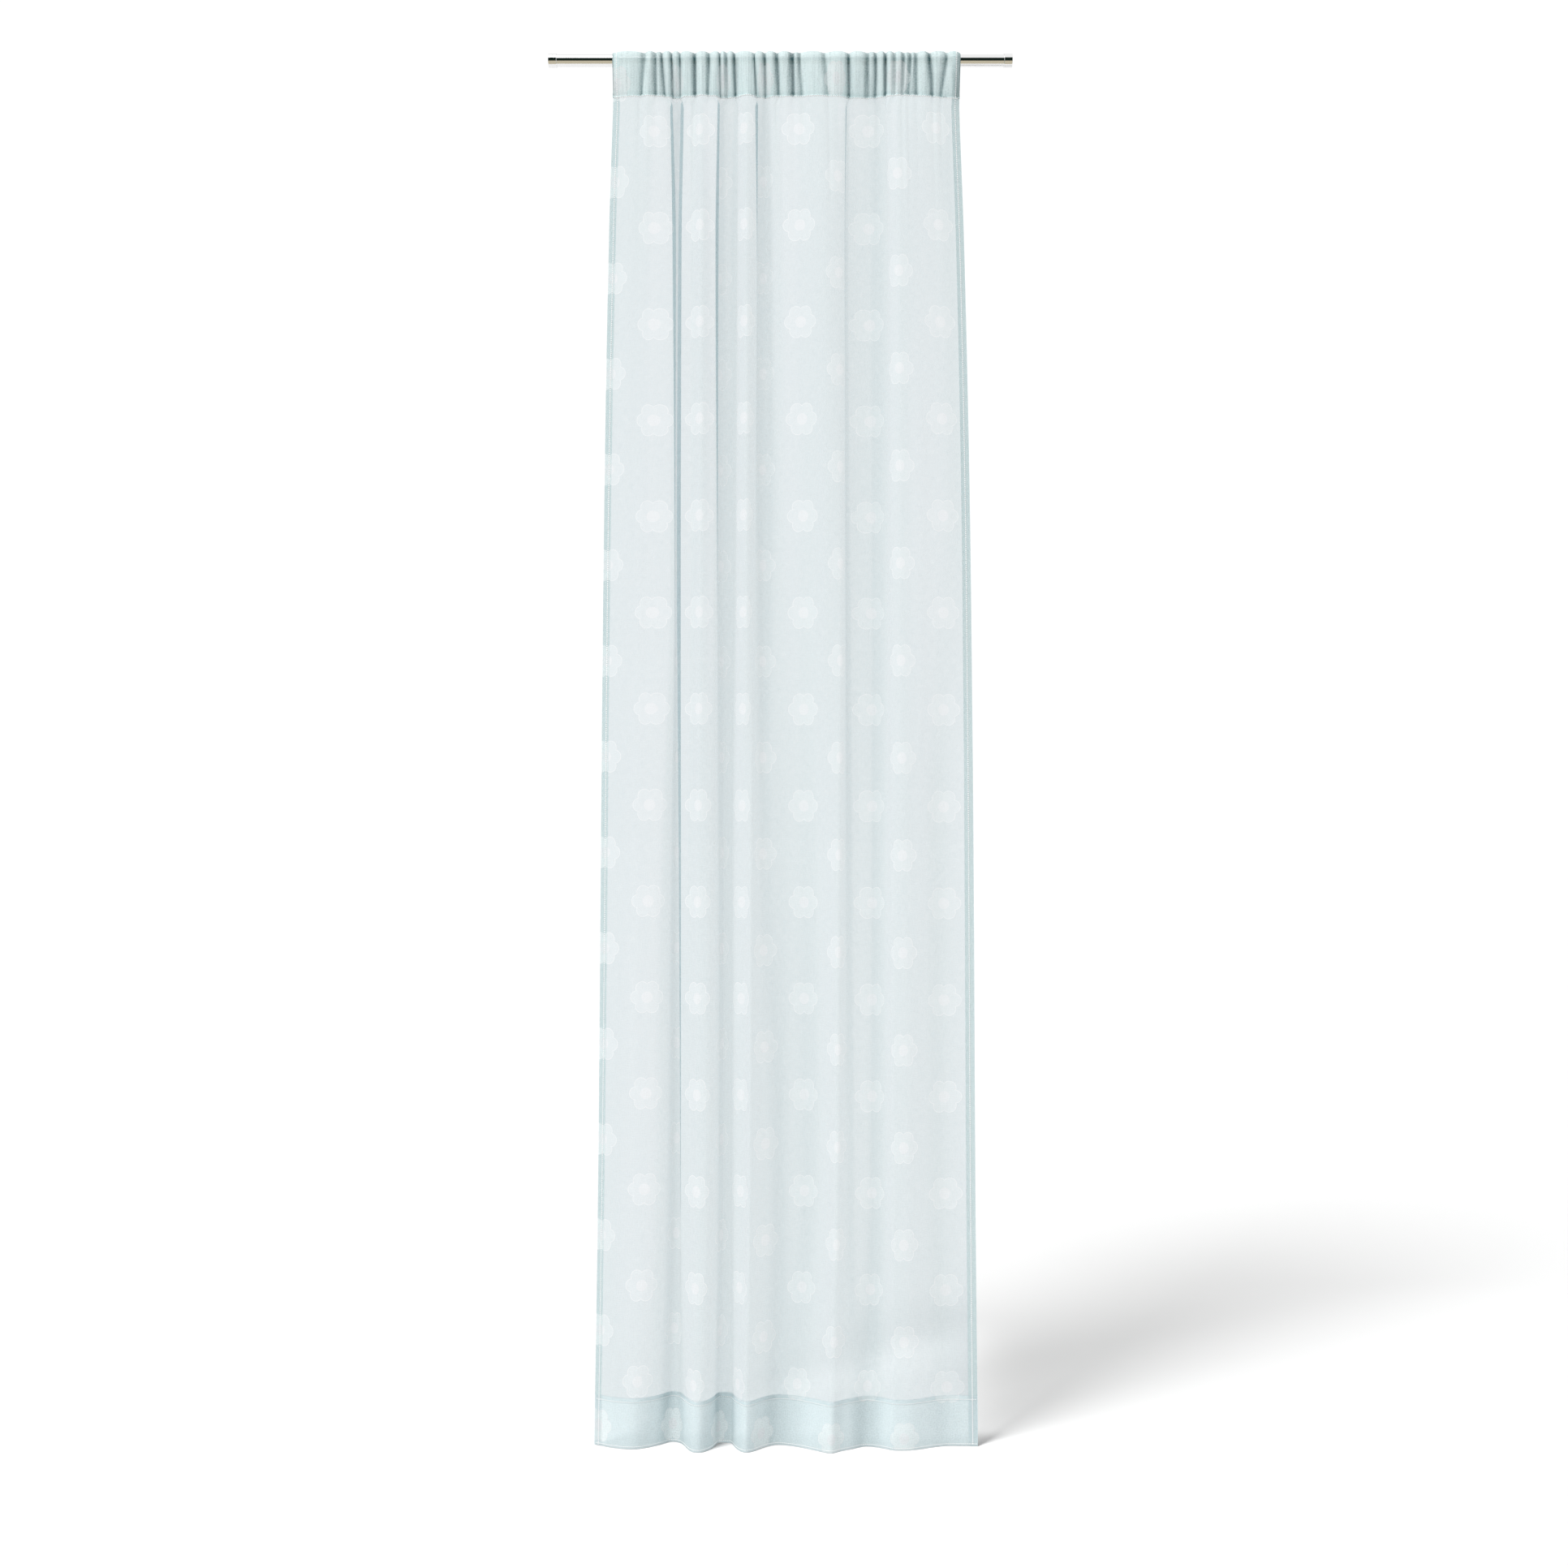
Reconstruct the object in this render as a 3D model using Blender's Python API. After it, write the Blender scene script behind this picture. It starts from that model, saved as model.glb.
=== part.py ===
"""Sheer voile curtain panel, gathered by its rod pocket on a plain bright tube with two end caps.

The origin is the middle of the rod's axis. X runs along the rod, +Z is up, and the side that faces the room
is -Y. Lengths are in metres; the tables are in millimetres, as a workroom would note them.
"""

from collections import namedtuple

import bmesh
import bpy
import numpy as np

MM = 0.001

# The rod: a thin tube that runs through the pocket, with a cup pushed over each end.
ROD_LENGTH = 0.803
ROD_DIAMETER = 0.022
ROD_WALL = 0.001
CAP_DIAMETER = 0.0246
CAP_LENGTH = 0.0147
CAP_FLOOR = 0.002
CAP_ROUNDING = 0.0012
SMALL_GAP = 0.0003
ROUND_STEPS = 40

# The panel as it is finished: 38 in wide when pulled flat and 95 in from the top of the rod to the hem.
CLOTH_WIDTH = 0.965
TOP_TO_HEM = 2.413
POCKET_DEPTH = 0.0745
SIDE_HEM = 0.014
FOOT_HEM = 0.087
CLOTH = 0.0012
HEMMED = 0.0020
HEM_STEP = 0.0015

# The pocket: the cloth's ridges stand off the rod, less above it, where the weight pulls them down, than in
# front.
RIDGE = 0.012
RIDGE_PER_WIDTH = 0.48
RIDGE_ON_TOP = 0.10
RIDGE_BEHIND = 0.70
RIDGE_FALLS = 3
LAYER_APART = 0.0026
SEAM_STEP = 0.003
HALFWAY = 0.45
ARC_ANGLES = (180.0, 135.0, 90.0, 45.0, 0.0)

# The rod's top carries the pocket's lowest dips: the arc's straight stretches between rows clear it by a
# small gap.
FACET = np.cos(np.radians((ARC_ANGLES[0] - ARC_ANGLES[1]) / 2))
ARC_RADIUS = (ROD_DIAMETER / 2 + SMALL_GAP) / FACET + CLOTH / 2
HEM_DROP = TOP_TO_HEM - ARC_RADIUS - CLOTH / 2
SEAM_DROP = POCKET_DEPTH - ARC_RADIUS - CLOTH / 2

# The mesh: how many columns run down the cloth, and how far below the rod's axis its level rows lie (mm).
COLUMNS = 104
EVEN_SHARE = 0.45
ROWS_ON_ROD = 6
EVEN_STEPS = 484
ROW_DROPS = (85, 120, 170, 235, 316, 430, 620, 876, 1150, 1436, 1740, 2060)
AVERAGE_REACH = 0.140
POCKET_REACH = 0.026
CREASE_REACH = 0.0075
FOOT_REACH = 0.0065
SOFTENS_FROM = 0.35
SOFTENS_TO = 1.9

# How far below the rod's axis the fold table is read (mm).
FOLD_DROPS = (77, 316, 876, 1436, 1960, 2400)

# Each row is one turn of the cloth, from the left edge to the right: how far along the cloth it is (mm),
# whether the stretch that ends there comes into the room (1) or goes back (-1), high up and at the foot, and
# where it lies across at each of FOLD_DROPS (mm from the middle). Where the cloth doubles back, the place
# across goes down instead of up.
Turn = namedtuple("Turn", "name along heading at_foot across")
TURNS = (
    Turn("left edge", 0, 0, 0, (-290, -298, -307, -312, -317, -324)),
    Turn("left hem", 18, 0.3, 1, (-274, -282, -291, -296, -302, -309)),
    Turn("first face, left", 45, 0.8, 0.7, (-253, -259, -266, -272, -279, -289)),
    Turn("first face, right", 87, 0.2, 0.45, (-223, -223, -226, -232, -239, -255)),
    Turn("first face, lip", 130, -1, -0.65, (-186, -180, -182, -194, -201, -219)),
    Turn("behind that lip", 150, -1, -0.95, (-192, -188, -184, -188, -192, -204)),
    Turn("first hollow", 171, -0.6, -0.65, (-176, -179, -181, -183, -184, -191)),
    Turn("end of that hollow", 187, 1, 0.65, (-167, -171, -172, -172, -173, -178)),
    Turn("second face, lip", 209, 1, 1, (-173, -177, -180, -177, -174, -168)),
    Turn("second face, rise", 235, 0.2, 1, (-152, -153, -154, -156, -158, -161)),
    Turn("second face", 260, 1, 1, (-138, -136, -137, -140, -142, -150)),
    Turn("second face, middle", 278, -1, 0.35, (-121, -121, -122, -126, -128, -139)),
    Turn("second face, right lip", 296, -1, -0.6, (-104, -106, -108, -113, -116, -127)),
    Turn("behind that lip", 317, -1, -1, (-109, -113, -110, -108, -109, -116)),
    Turn("second hollow", 344, -0.6, -0.9, (-104, -104, -101, -100, -101, -107)),
    Turn("end of that hollow", 380, 0.6, 0.4, (-74, -76, -79, -85, -86, -85)),
    Turn("third face, lip", 400, 1, 1, (-73, -73, -75, -79, -81, -81)),
    Turn("third face", 429, 1, 0.95, (-57, -57, -58, -61, -63, -74)),
    Turn("third face, right lip", 456, -1, 0.95, (-38, -40, -46, -51, -54, -60)),
    Turn("behind that lip", 480, -1, -0.2, (-44, -41, -41, -42, -42, -46)),
    Turn("third hollow", 507, -0.4, -0.7, (-25, -26, -28, -27, -21, -31)),
    Turn("fourth face, lip", 542, 1, -0.4, (-9, -6, 1, 3, 4, -6)),
    Turn("fourth face, left", 584, 0.7, 0.55, (33, 34, 40, 41, 42, 24)),
    Turn("fourth face", 634, 0.5, 1, (74, 76, 80, 79, 78, 62)),
    Turn("fourth face, right", 667, -0.5, 1, (98, 101, 105, 101, 98, 88)),
    Turn("fourth face, right lip", 688, -1, -0.8, (115, 112, 112, 111, 110, 103)),
    Turn("behind that lip", 708, -1, -0.55, (113, 112, 115, 118, 120, 119)),
    Turn("fourth hollow", 750, -0.5, -0.55, (155, 157, 161, 162, 161, 149)),
    Turn("end of that hollow", 791, 0.7, 0.65, (183, 185, 186, 186, 186, 182)),
    Turn("fifth face, lip", 807, 1, 0.95, (182, 188, 191, 193, 194, 194)),
    Turn("fifth face", 833, 0.8, 0.05, (202, 205, 208, 212, 214, 215)),
    Turn("fifth face, right", 916, -0.7, -1, (271, 277, 285, 286, 288, 293)),
    Turn("right hem", 947, -1, -1, (295, 304, 314, 318, 321, 325)),
    Turn("right edge", 965, -0.4, -1, (311, 320, 331, 336, 339, 343)),
)

# How much of the full fold depth is there, and how much of the gathers' height is left, at each drop (mm).
Share = namedtuple("Share", "drop fold gather")
SHARES = (
    Share(55, 0.28, 0.55),
    Share(77, 0.46, 0.42),
    Share(120, 0.68, 0.24),
    Share(200, 0.88, 0.12),
    Share(330, 1.00, 0.05),
    Share(520, 1.00, 0.00),
    Share(2400, 1.00, 0.00),
)

# The dips between the gathers on the rod: where each is across (mm), how deep (1 is full), and how far its
# foot at the seam lies to the right of its top (mm).
Dip = namedtuple("Dip", "across depth lean")
DIPS = (
    Dip(-289, 0.6, 0), Dip(-237, 0.7, -8), Dip(-215, 0.7, 0), Dip(-202, 0.8, 9), Dip(-187, 0.9, 2),
    Dip(-173, 0.8, 0), Dip(-147, 1.0, 1), Dip(-124, 0.8, -4), Dip(-104, 0.9, 1), Dip(-93, 0.6, 0),
    Dip(-78, 1.0, 5), Dip(-43, 0.9, 10), Dip(-26, 0.9, 2), Dip(-4, 0.9, 5), Dip(22, 1.0, 1),
    Dip(35, 0.6, 4), Dip(79, 0.6, 8), Dip(119, 1.0, 2), Dip(151, 0.7, 0), Dip(165, 0.8, 0),
    Dip(182, 1.0, 1), Dip(197, 0.6, 0), Dip(212, 0.7, -3), Dip(223, 0.8, -6), Dip(235, 0.7, 2),
    Dip(261, 1.0, 8), Dip(282, 0.7, -14), Dip(310, 0.6, 0),
)  # fmt: skip

VOILE = ("sheer voile", (0.84, 0.88, 0.90, 1.0), 0.85, 0.0)
BRIGHT_METAL = ("bright metal", (0.80, 0.81, 0.82, 1.0), 0.12, 1.0)


def clear_scene():
    for thing in list(bpy.data.objects):
        bpy.data.objects.remove(thing, do_unlink=True)


def material(name, colour, roughness, metallic):
    """A Principled BSDF of one colour, made once and then shared."""
    finish = bpy.data.materials.get(name) or bpy.data.materials.new(name)
    finish.use_nodes = True
    finish.diffuse_color = colour
    shader = finish.node_tree.nodes["Principled BSDF"]
    shader.inputs["Base Color"].default_value = colour
    shader.inputs["Roughness"].default_value = roughness
    shader.inputs["Metallic"].default_value = metallic
    return finish


def add_object(name, mesh, finish):
    mesh.materials.append(material(*finish))
    thing = bpy.data.objects.new(name, mesh)
    bpy.context.collection.objects.link(thing)
    return thing


def through(knots, values, at):
    """A smooth curve through the values at the knots that never swings past them.

    It is a cubic between knots. Its slope at a knot is the harmonic mean of the slopes on the two sides, or
    nought where one side rises and the other falls. values has a row for each knot, and the result a row for
    each of at.
    """
    knots = np.asarray(knots, float)
    at = np.asarray(at, float)
    values = np.asarray(values, float).reshape(len(knots), -1)
    gap = np.diff(knots)[:, None]
    rise = np.diff(values, axis=0) / gap
    before, after = rise[:-1], rise[1:]
    same_way = before * after > 0
    both = np.where(same_way, before + after, 1.0)
    slope = np.vstack([rise[:1], np.where(same_way, 2 * before * after / both, 0.0), rise[-1:]])
    k = np.clip(np.searchsorted(knots, at, side="right") - 1, 0, len(knots) - 2)
    t = (at - knots[k])[:, None] / gap[k]
    from_left = (1 + 2 * t) * (1 - t) ** 2 * values[k] + t * (1 - t) ** 2 * gap[k] * slope[k]
    from_right = t**2 * (3 - 2 * t) * values[k + 1] - t**2 * (1 - t) * gap[k] * slope[k + 1]
    return from_left + from_right


def bell_average(along, values, reach):
    """Each value's average with its neighbours, weighted by a bell curve of this reach along the cloth.

    Past an end, the values go on as the same path turned half round about that end, so the ends stay in
    place.
    """
    start, end = values[:1], values[-1:]
    beyond = np.concatenate([along[0] - (along[:0:-1] - along[0]), along, 2 * along[-1] - along[-2::-1]])
    values = np.concatenate([2 * start - values[:0:-1], values, 2 * end - values[-2::-1]])
    weight = np.exp(-0.5 * ((along[:, None] - beyond[None, :]) / reach) ** 2) * np.gradient(beyond)[None, :]
    return weight @ values / weight.sum(axis=1, keepdims=True)


def softened(along, path, reach):
    """A path over the whole width of cloth with its turns rounded over this reach, read at the distances
    along."""
    every = np.linspace(0.0, CLOTH_WIDTH, EVEN_STEPS)
    return through(every, bell_average(every, path(every), reach), along)


def column(table, name):
    """One column of a table of named rows, as it stands there."""
    return np.array([getattr(row, name) for row in table], float)


def toward_foot(drops):
    """0 above the height where the folds start to soften, 1 near the foot and smooth between."""
    part = np.clip((drops - SOFTENS_FROM) / (SOFTENS_TO - SOFTENS_FROM), 0, 1)
    return part**2 * (3 - 2 * part)


def fold_depths(across, drops):
    """How far into the room each turn lies, from where the turns lie across.

    The cloth can't stretch, so what a stretch between two turns doesn't cover across, it covers in depth: the
    square root of its length squared less its step across squared. The depths are added up from the left
    edge, and their broad average is taken off, because the panel as a whole hangs straight under the rod.
    """
    along = column(TURNS, "along") * MM
    length = np.diff(along)[:, None]
    spare = np.sqrt(np.clip(length**2 - np.diff(across, axis=0) ** 2, 0, None))
    high, low = column(TURNS, "heading")[1:, None], column(TURNS, "at_foot")[1:, None]
    depth = np.cumsum(spare * (high + (low - high) * toward_foot(drops)), axis=0)
    depth = np.vstack([np.zeros_like(depth[:1]), depth])
    apart = along[:, None] - along[None, :]
    weight = np.exp(-0.5 * (apart / AVERAGE_REACH) ** 2) * np.gradient(along)[None, :]
    return depth - weight @ depth / weight.sum(axis=1, keepdims=True)


def fold_rows(along, drops):
    """Where the folds put the cloth across and into the room, for distances along it (rows) and drops
    (columns).

    The turns are rounded over a short reach high up and over a longer one at the foot.
    """
    at = column(TURNS, "along") * MM
    levels = np.array(FOLD_DROPS) * MM
    across = through(levels, column(TURNS, "across").T * MM, np.maximum(drops, levels[0])).T
    shares = through(column(SHARES, "drop") * MM, column(SHARES, "fold"), drops)[:, 0]
    turns = np.hstack([across, fold_depths(across, drops) * shares])
    tight = softened(along, lambda every: through(at, turns, every), CREASE_REACH)
    loose = softened(along, lambda every: through(at, turns, every), FOOT_REACH)
    both = tight + (loose - tight) * np.tile(toward_foot(drops), 2)
    return both[:, : len(drops)], both[:, len(drops) :]


def pocket_across(along):
    """Where the cloth lies across on the rod: the topmost folds' places evened out, so that nothing
    doubles back."""
    top = np.array(FOLD_DROPS[:1]) * MM
    return softened(along, lambda every: fold_rows(every, top)[0], POCKET_REACH)[:, 0]


def gathers(along, lower):
    """How far the cloth stands off the rod: ridges between the dips, higher where the dips are further apart.

    The ridges lean: at each of lower, from 0 at the pocket's top to 1 at the seam, they are read at a place
    that is shifted against the lean. The result has a row for each of along and a column for each of lower.
    """
    every = np.linspace(0.0, CLOTH_WIDTH, EVEN_STEPS)
    low = np.interp(column(DIPS, "across") * MM, pocket_across(every), every)
    low[0], low[-1] = 0.0, CLOTH_WIDTH
    knots = np.empty(2 * len(low) - 1)
    stands = np.empty_like(knots)
    knots[0::2], knots[1::2] = low, (low[:-1] + low[1:]) / 2
    stands[0::2] = RIDGE * (1 - column(DIPS, "depth")) / 2
    stands[1::2] = np.minimum(RIDGE_PER_WIDTH * np.diff(low), RIDGE)
    lean = np.interp(along, low, column(DIPS, "lean") * MM)
    shifted = np.clip(along[:, None] - lean[:, None] * (np.asarray(lower)[None, :] - 0.5), 0, CLOTH_WIDTH)
    return through(knots, stands, shifted.ravel()).reshape(shifted.shape)


def level_rows(along, drops):
    """Where the cloth below the seam lies across and into the room: the folds, with the gathers dying out in
    them.

    Just under the seam the places across pass from the pocket's even spread to the folds' own.
    """
    across, into_room = fold_rows(along, drops)
    left = through(column(SHARES, "drop") * MM, column(SHARES, "gather"), drops)[:, 0]
    into_room = into_room + (gathers(along, [1.0]) - RIDGE / 2) * left
    settled = np.clip((drops - SEAM_DROP) / (FOLD_DROPS[0] * MM - SEAM_DROP), 0, 1)
    on_rod = pocket_across(along)[:, None]
    return on_rod + (across - on_rod) * settled, into_room


def cloth_columns():
    """The mesh's columns: partly even along the cloth, partly closer where it bends, with some at the side
    hems."""
    every = np.linspace(0.0, CLOTH_WIDTH, EVEN_STEPS)
    across, into_room = level_rows(every, np.array(ROW_DROPS) * MM)
    across = np.column_stack([across] + [pocket_across(every)] * ROWS_ON_ROD)
    into_room = np.column_stack([into_room, gathers(every, np.linspace(0, 1, ROWS_ON_ROD))])
    angle = np.unwrap(np.arctan2(np.gradient(into_room, axis=0), np.gradient(across, axis=0)), axis=0)
    bend = np.abs(np.gradient(angle, axis=0)).mean(axis=1, keepdims=True)
    bend = bell_average(every, bend, CREASE_REACH)[:, 0]
    share = np.cumsum(EVEN_SHARE / len(bend) + (1 - EVEN_SHARE) * bend / bend.sum())
    inner = np.interp(np.linspace(share[0], share[-1], COLUMNS), share, every)
    hem = np.array([0.0, SIDE_HEM / 2, SIDE_HEM, SIDE_HEM + HEM_STEP])
    clear = hem[-1] + SIDE_HEM / 4
    inner = inner[(inner > clear) & (inner < CLOTH_WIDTH - clear)]
    return np.concatenate([hem, inner, CLOTH_WIDTH - hem[::-1]])


def unit_normals(grid):
    """Unit normals of a grid of points, facing out of the pocket and into the room."""
    normal = np.cross(np.gradient(grid, axis=0), np.gradient(grid, axis=1))
    return normal / np.linalg.norm(normal, axis=2, keepdims=True)


def pocket_rows(along, seam, apart):
    """The pocket's rows of points: from the seam up its back, round the rod, and down its front to the
    seam again."""
    on_rod, ridge = pocket_across(along), gathers(along, [0.0])[:, 0]
    rows = []
    for angle in np.radians(ARC_ANGLES):
        front = np.cos(angle)
        facing = abs(front) ** RIDGE_FALLS
        stands = (1.0 if front > 0 else RIDGE_BEHIND) * facing + RIDGE_ON_TOP * (1 - facing)
        radius = ARC_RADIUS + ridge * stands
        rows.append(np.column_stack([on_rod, -radius * front, radius * np.sin(angle)]))
    halfway = [seam + (row - seam) * HALFWAY for row in (rows[0] - apart, rows[-1] + apart)]
    return np.array([seam - apart, halfway[0], *rows, halfway[1], seam + apart])


def panel_grid():
    """The middle of the cloth as rows of points: up the pocket's back, over the rod, down its front and on to
    the hem.

    Returns the grid, the way that the cloth's outer side faces and its thickness at each point, and the
    seam's row.
    """
    along = cloth_columns()
    hem_top = HEM_DROP - FOOT_HEM
    foot = [hem_top - HEM_STEP, hem_top, HEM_DROP]
    drops = np.concatenate([[SEAM_DROP + SEAM_STEP], np.array(ROW_DROPS) * MM, foot])
    across, into_room = level_rows(along, drops)
    body = np.stack([across, -into_room, np.broadcast_to(-drops, across.shape)], axis=2).transpose(1, 0, 2)
    seam = np.column_stack([body[0, :, :2], np.full(len(along), -SEAM_DROP)])
    run = np.gradient(seam, axis=0)
    square = np.column_stack([run[:, 1], -run[:, 0], np.zeros(len(along))])
    square /= np.linalg.norm(square, axis=1, keepdims=True)
    pocket = pocket_rows(along, seam, square * LAYER_APART / 2)
    grid = np.concatenate([pocket, body])
    facing = unit_normals(grid)
    facing[0], facing[len(pocket) - 1], facing[len(pocket)] = -square, square, square
    turned = (along <= SIDE_HEM) | (along >= CLOTH_WIDTH - SIDE_HEM)
    at_foot = np.concatenate([np.zeros(len(pocket), bool), drops >= hem_top])
    thickness = np.where(turned[None, :] | at_foot[:, None], HEMMED, CLOTH)
    return grid, facing, thickness, len(pocket) - 1


def strip(upper, lower, rising=False):
    """Triangles between two rows of points, for an eye that has the upper row above and its first point at
    the left.

    Each square is parted from its upper left corner to its lower right one, or the other way if rising.
    """
    a, b, c, d = upper[:-1], lower[:-1], lower[1:], upper[1:]
    halves = ((a, b, d), (b, c, d)) if rising else ((a, b, c), (a, c, d))
    return np.concatenate([np.stack(half, axis=1) for half in halves])


def curtain_panel():
    """The panel as one closed solid.

    The outer skin is the grid pushed out by half the thickness, and the inner skin is pushed in. The inner
    skin is the pocket's inside down to the seam, closed there by a floor, and below the seam it is the back
    of the cloth. A ledge joins the pocket's back layer to it.
    """
    grid, facing, thickness, seam = panel_grid()
    push = facing * thickness[:, :, None] / 2
    points = np.concatenate([grid + push, grid - push])
    rows, columns = grid.shape[:2]
    outer, inner = np.arange(2 * rows * columns).reshape(2, rows, columns)
    faces = [strip(outer[r], outer[r + 1]) for r in range(rows - 1)]
    faces += [strip(inner[r + 1], inner[r], rising=True) for r in range(rows - 1) if r != seam]
    faces += [strip(inner[0], inner[seam]), strip(inner[seam + 1], outer[0]), strip(outer[-1], inner[-1])]
    for c, way in ((0, 1), (-1, -1)):
        for r in range(rows - 1):
            faces.append(strip(outer[r : r + 2, c], inner[r : r + 2, c])[:, ::way])
        faces.append(strip(inner[[0, seam], c], np.array([outer[0, c], inner[seam + 1, c]]))[:, ::way])
    mesh = bpy.data.meshes.new("curtain_panel")
    mesh.from_pydata(points.reshape(-1, 3).tolist(), [], np.concatenate(faces).tolist())
    mesh.shade_smooth()
    mesh.set_sharp_from_angle(angle=np.radians(60))
    return add_object("curtain_panel", mesh, VOILE)


def turned_piece(name, profile, place=0.0, mirrored=False):
    """A profile of (distance along the rod, radius) points carried round the rod's axis."""
    way = -1 if mirrored else 1
    shape = bmesh.new()
    ring = [shape.verts.new((way * x, 0.0, r)) for x, r in profile]
    edges = [shape.edges.new(pair) for pair in zip(ring, ring[1:])]
    if profile[0][1] > 0:
        edges.append(shape.edges.new((ring[-1], ring[0])))
    bmesh.ops.spin(shape, geom=ring + edges, axis=(1, 0, 0), cent=(0, 0, 0), dvec=(0, 0, 0),
                   angle=2 * np.pi, steps=ROUND_STEPS, use_merge=True)  # fmt: skip
    bmesh.ops.remove_doubles(shape, verts=shape.verts, dist=1e-6)
    bmesh.ops.recalc_face_normals(shape, faces=shape.faces)
    mesh = bpy.data.meshes.new(name)
    shape.to_mesh(mesh)
    shape.free()
    mesh.shade_smooth()
    mesh.set_sharp_from_angle(angle=np.radians(35))
    piece = add_object(name, mesh, BRIGHT_METAL)
    piece.location.x = place
    return piece


def rod_tube():
    """The tube: open at both ends, which stop short of the caps' floors."""
    half = ROD_LENGTH / 2 - CAP_FLOOR - SMALL_GAP
    outside = ROD_DIAMETER / 2
    inside = outside - ROD_WALL
    return turned_piece("rod_tube", [(-half, inside), (-half, outside), (half, outside), (half, inside)])


def end_cap(name, mirrored):
    """A cup over the tube's end: flat outside, its two rims a little rounded, and open towards the tube."""
    outside, bore = CAP_DIAMETER / 2, ROD_DIAMETER / 2 + SMALL_GAP
    turn = np.radians([90, 60, 30, 0])
    round_x, round_r = CAP_ROUNDING * (1 - np.sin(turn)), CAP_ROUNDING * (1 - np.cos(turn))
    face = [(-x, outside - r) for x, r in zip(round_x, round_r)]
    lip = CAP_ROUNDING / 3
    rim = [(-CAP_LENGTH + lip, outside), (-CAP_LENGTH, outside - lip), (-CAP_LENGTH, bore)]
    profile = [(0.0, 0.0)] + face + rim + [(-CAP_FLOOR, bore), (-CAP_FLOOR, 0.0)]
    end = ROD_LENGTH / 2
    return turned_piece(name, profile, -end if mirrored else end, mirrored)


def main():
    clear_scene()
    curtain_panel()
    rod_tube()
    end_cap("end_cap_left", mirrored=True)
    end_cap("end_cap_right", mirrored=False)


main()
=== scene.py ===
# %% [markdown]
# # A sheer voile curtain on its rod
#
# The curtain is one rectangle of thin white voile. Its side edges, its foot and its rod pocket are turned
# over and stitched, and the pocket is pushed along a bright steel tube, so the cloth stands in gathers at
# the top and falls in a few broad folds. This lesson rebuilds it around a packed CAD model, which fixes the
# sizes. The rod and its caps stay as they are and get a finish. The panel's plain solid gives way to real
# thin cloth.

from collections import namedtuple

import bpy
import numpy as np
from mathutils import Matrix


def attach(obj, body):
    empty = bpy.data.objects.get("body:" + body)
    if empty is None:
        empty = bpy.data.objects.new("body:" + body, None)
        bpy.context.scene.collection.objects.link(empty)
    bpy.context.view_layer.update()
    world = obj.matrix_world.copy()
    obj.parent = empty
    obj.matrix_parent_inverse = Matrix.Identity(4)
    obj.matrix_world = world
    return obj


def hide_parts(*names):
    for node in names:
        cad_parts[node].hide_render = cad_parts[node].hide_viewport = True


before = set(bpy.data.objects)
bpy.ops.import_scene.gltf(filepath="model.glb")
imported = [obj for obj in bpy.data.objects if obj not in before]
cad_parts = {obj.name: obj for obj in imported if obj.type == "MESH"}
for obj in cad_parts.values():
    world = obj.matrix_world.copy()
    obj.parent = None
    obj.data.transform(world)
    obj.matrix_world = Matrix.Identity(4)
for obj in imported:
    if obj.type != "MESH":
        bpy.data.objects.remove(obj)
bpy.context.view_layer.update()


def add_piece(name, data):
    """A new object in the scene, of this mesh, lamp or lens."""
    piece = bpy.data.objects.new(name, data)
    bpy.context.collection.objects.link(piece)
    return piece


print("nodes:", sorted(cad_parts))

# %% [markdown]
# ## The camera
#
# The photograph is taken square on, from half way down the curtain, with an ordinary lens. The camera comes
# first, because each finish is judged through it. One pixel of the square picture is 1.405 mm at the
# curtain, and the distance follows from the lens: distance = width seen * focal length / sensor width.

# %% Camera
MM = 0.001
PICTURE = 1932
PIXEL = 1.405 * MM
ROD_PIXEL = (961.5, 74.8)
LENS_MM, SENSOR_MM = 50.0, 36.0

middle = PICTURE / 2
distance = PICTURE * PIXEL * LENS_MM / SENSOR_MM
lens = bpy.data.cameras.new("studio_camera")
lens.lens, lens.sensor_width = LENS_MM, SENSOR_MM
camera = add_piece("studio_camera", lens)
camera.location = ((middle - ROD_PIXEL[0]) * PIXEL, -distance, -(middle - ROD_PIXEL[1]) * PIXEL)
camera.rotation_euler = (np.pi / 2, 0, 0)
bpy.context.scene.camera = camera
print("camera stands", round(distance, 3), "m in front of the curtain")

# %% [markdown]
# ## Sizes
#
# A workroom would note the finished width and drop, how deep the pocket and the hems are, and how far each
# raw edge is turned under. The origin is the middle of the rod's axis, X runs along the rod and -Y faces
# the room.

# %% Sizes of the rod and the cloth
ROD_DIAMETER = 0.022
SMALL_GAP = 0.0003
CLOTH_WIDTH = 0.965
TOP_TO_HEM = 2.413
POCKET_DEPTH = 0.0745
LEFT_HEM, RIGHT_HEM = 0.0135, 0.0160
FOOT_HEM = 0.087
TURNED_UNDER = 0.009
RAW_CLEAR = 3 * SMALL_GAP

RADIUS = ROD_DIAMETER / 2 + 2 * SMALL_GAP
HEM_DROP = TOP_TO_HEM - RADIUS - SMALL_GAP
SEAM_DROP = POCKET_DEPTH - RADIUS - SMALL_GAP
OVER_ROD = np.pi * RADIUS

cut_width = CLOTH_WIDTH + 2 * (LEFT_HEM + RIGHT_HEM) - 2 * RAW_CLEAR
cut_length = HEM_DROP + FOOT_HEM + OVER_ROD + SEAM_DROP + 2 * TURNED_UNDER
print(f"cut size {cut_width:.3f} x {cut_length:.3f} m, hem {HEM_DROP:.3f} m below the rod's axis")

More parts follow.
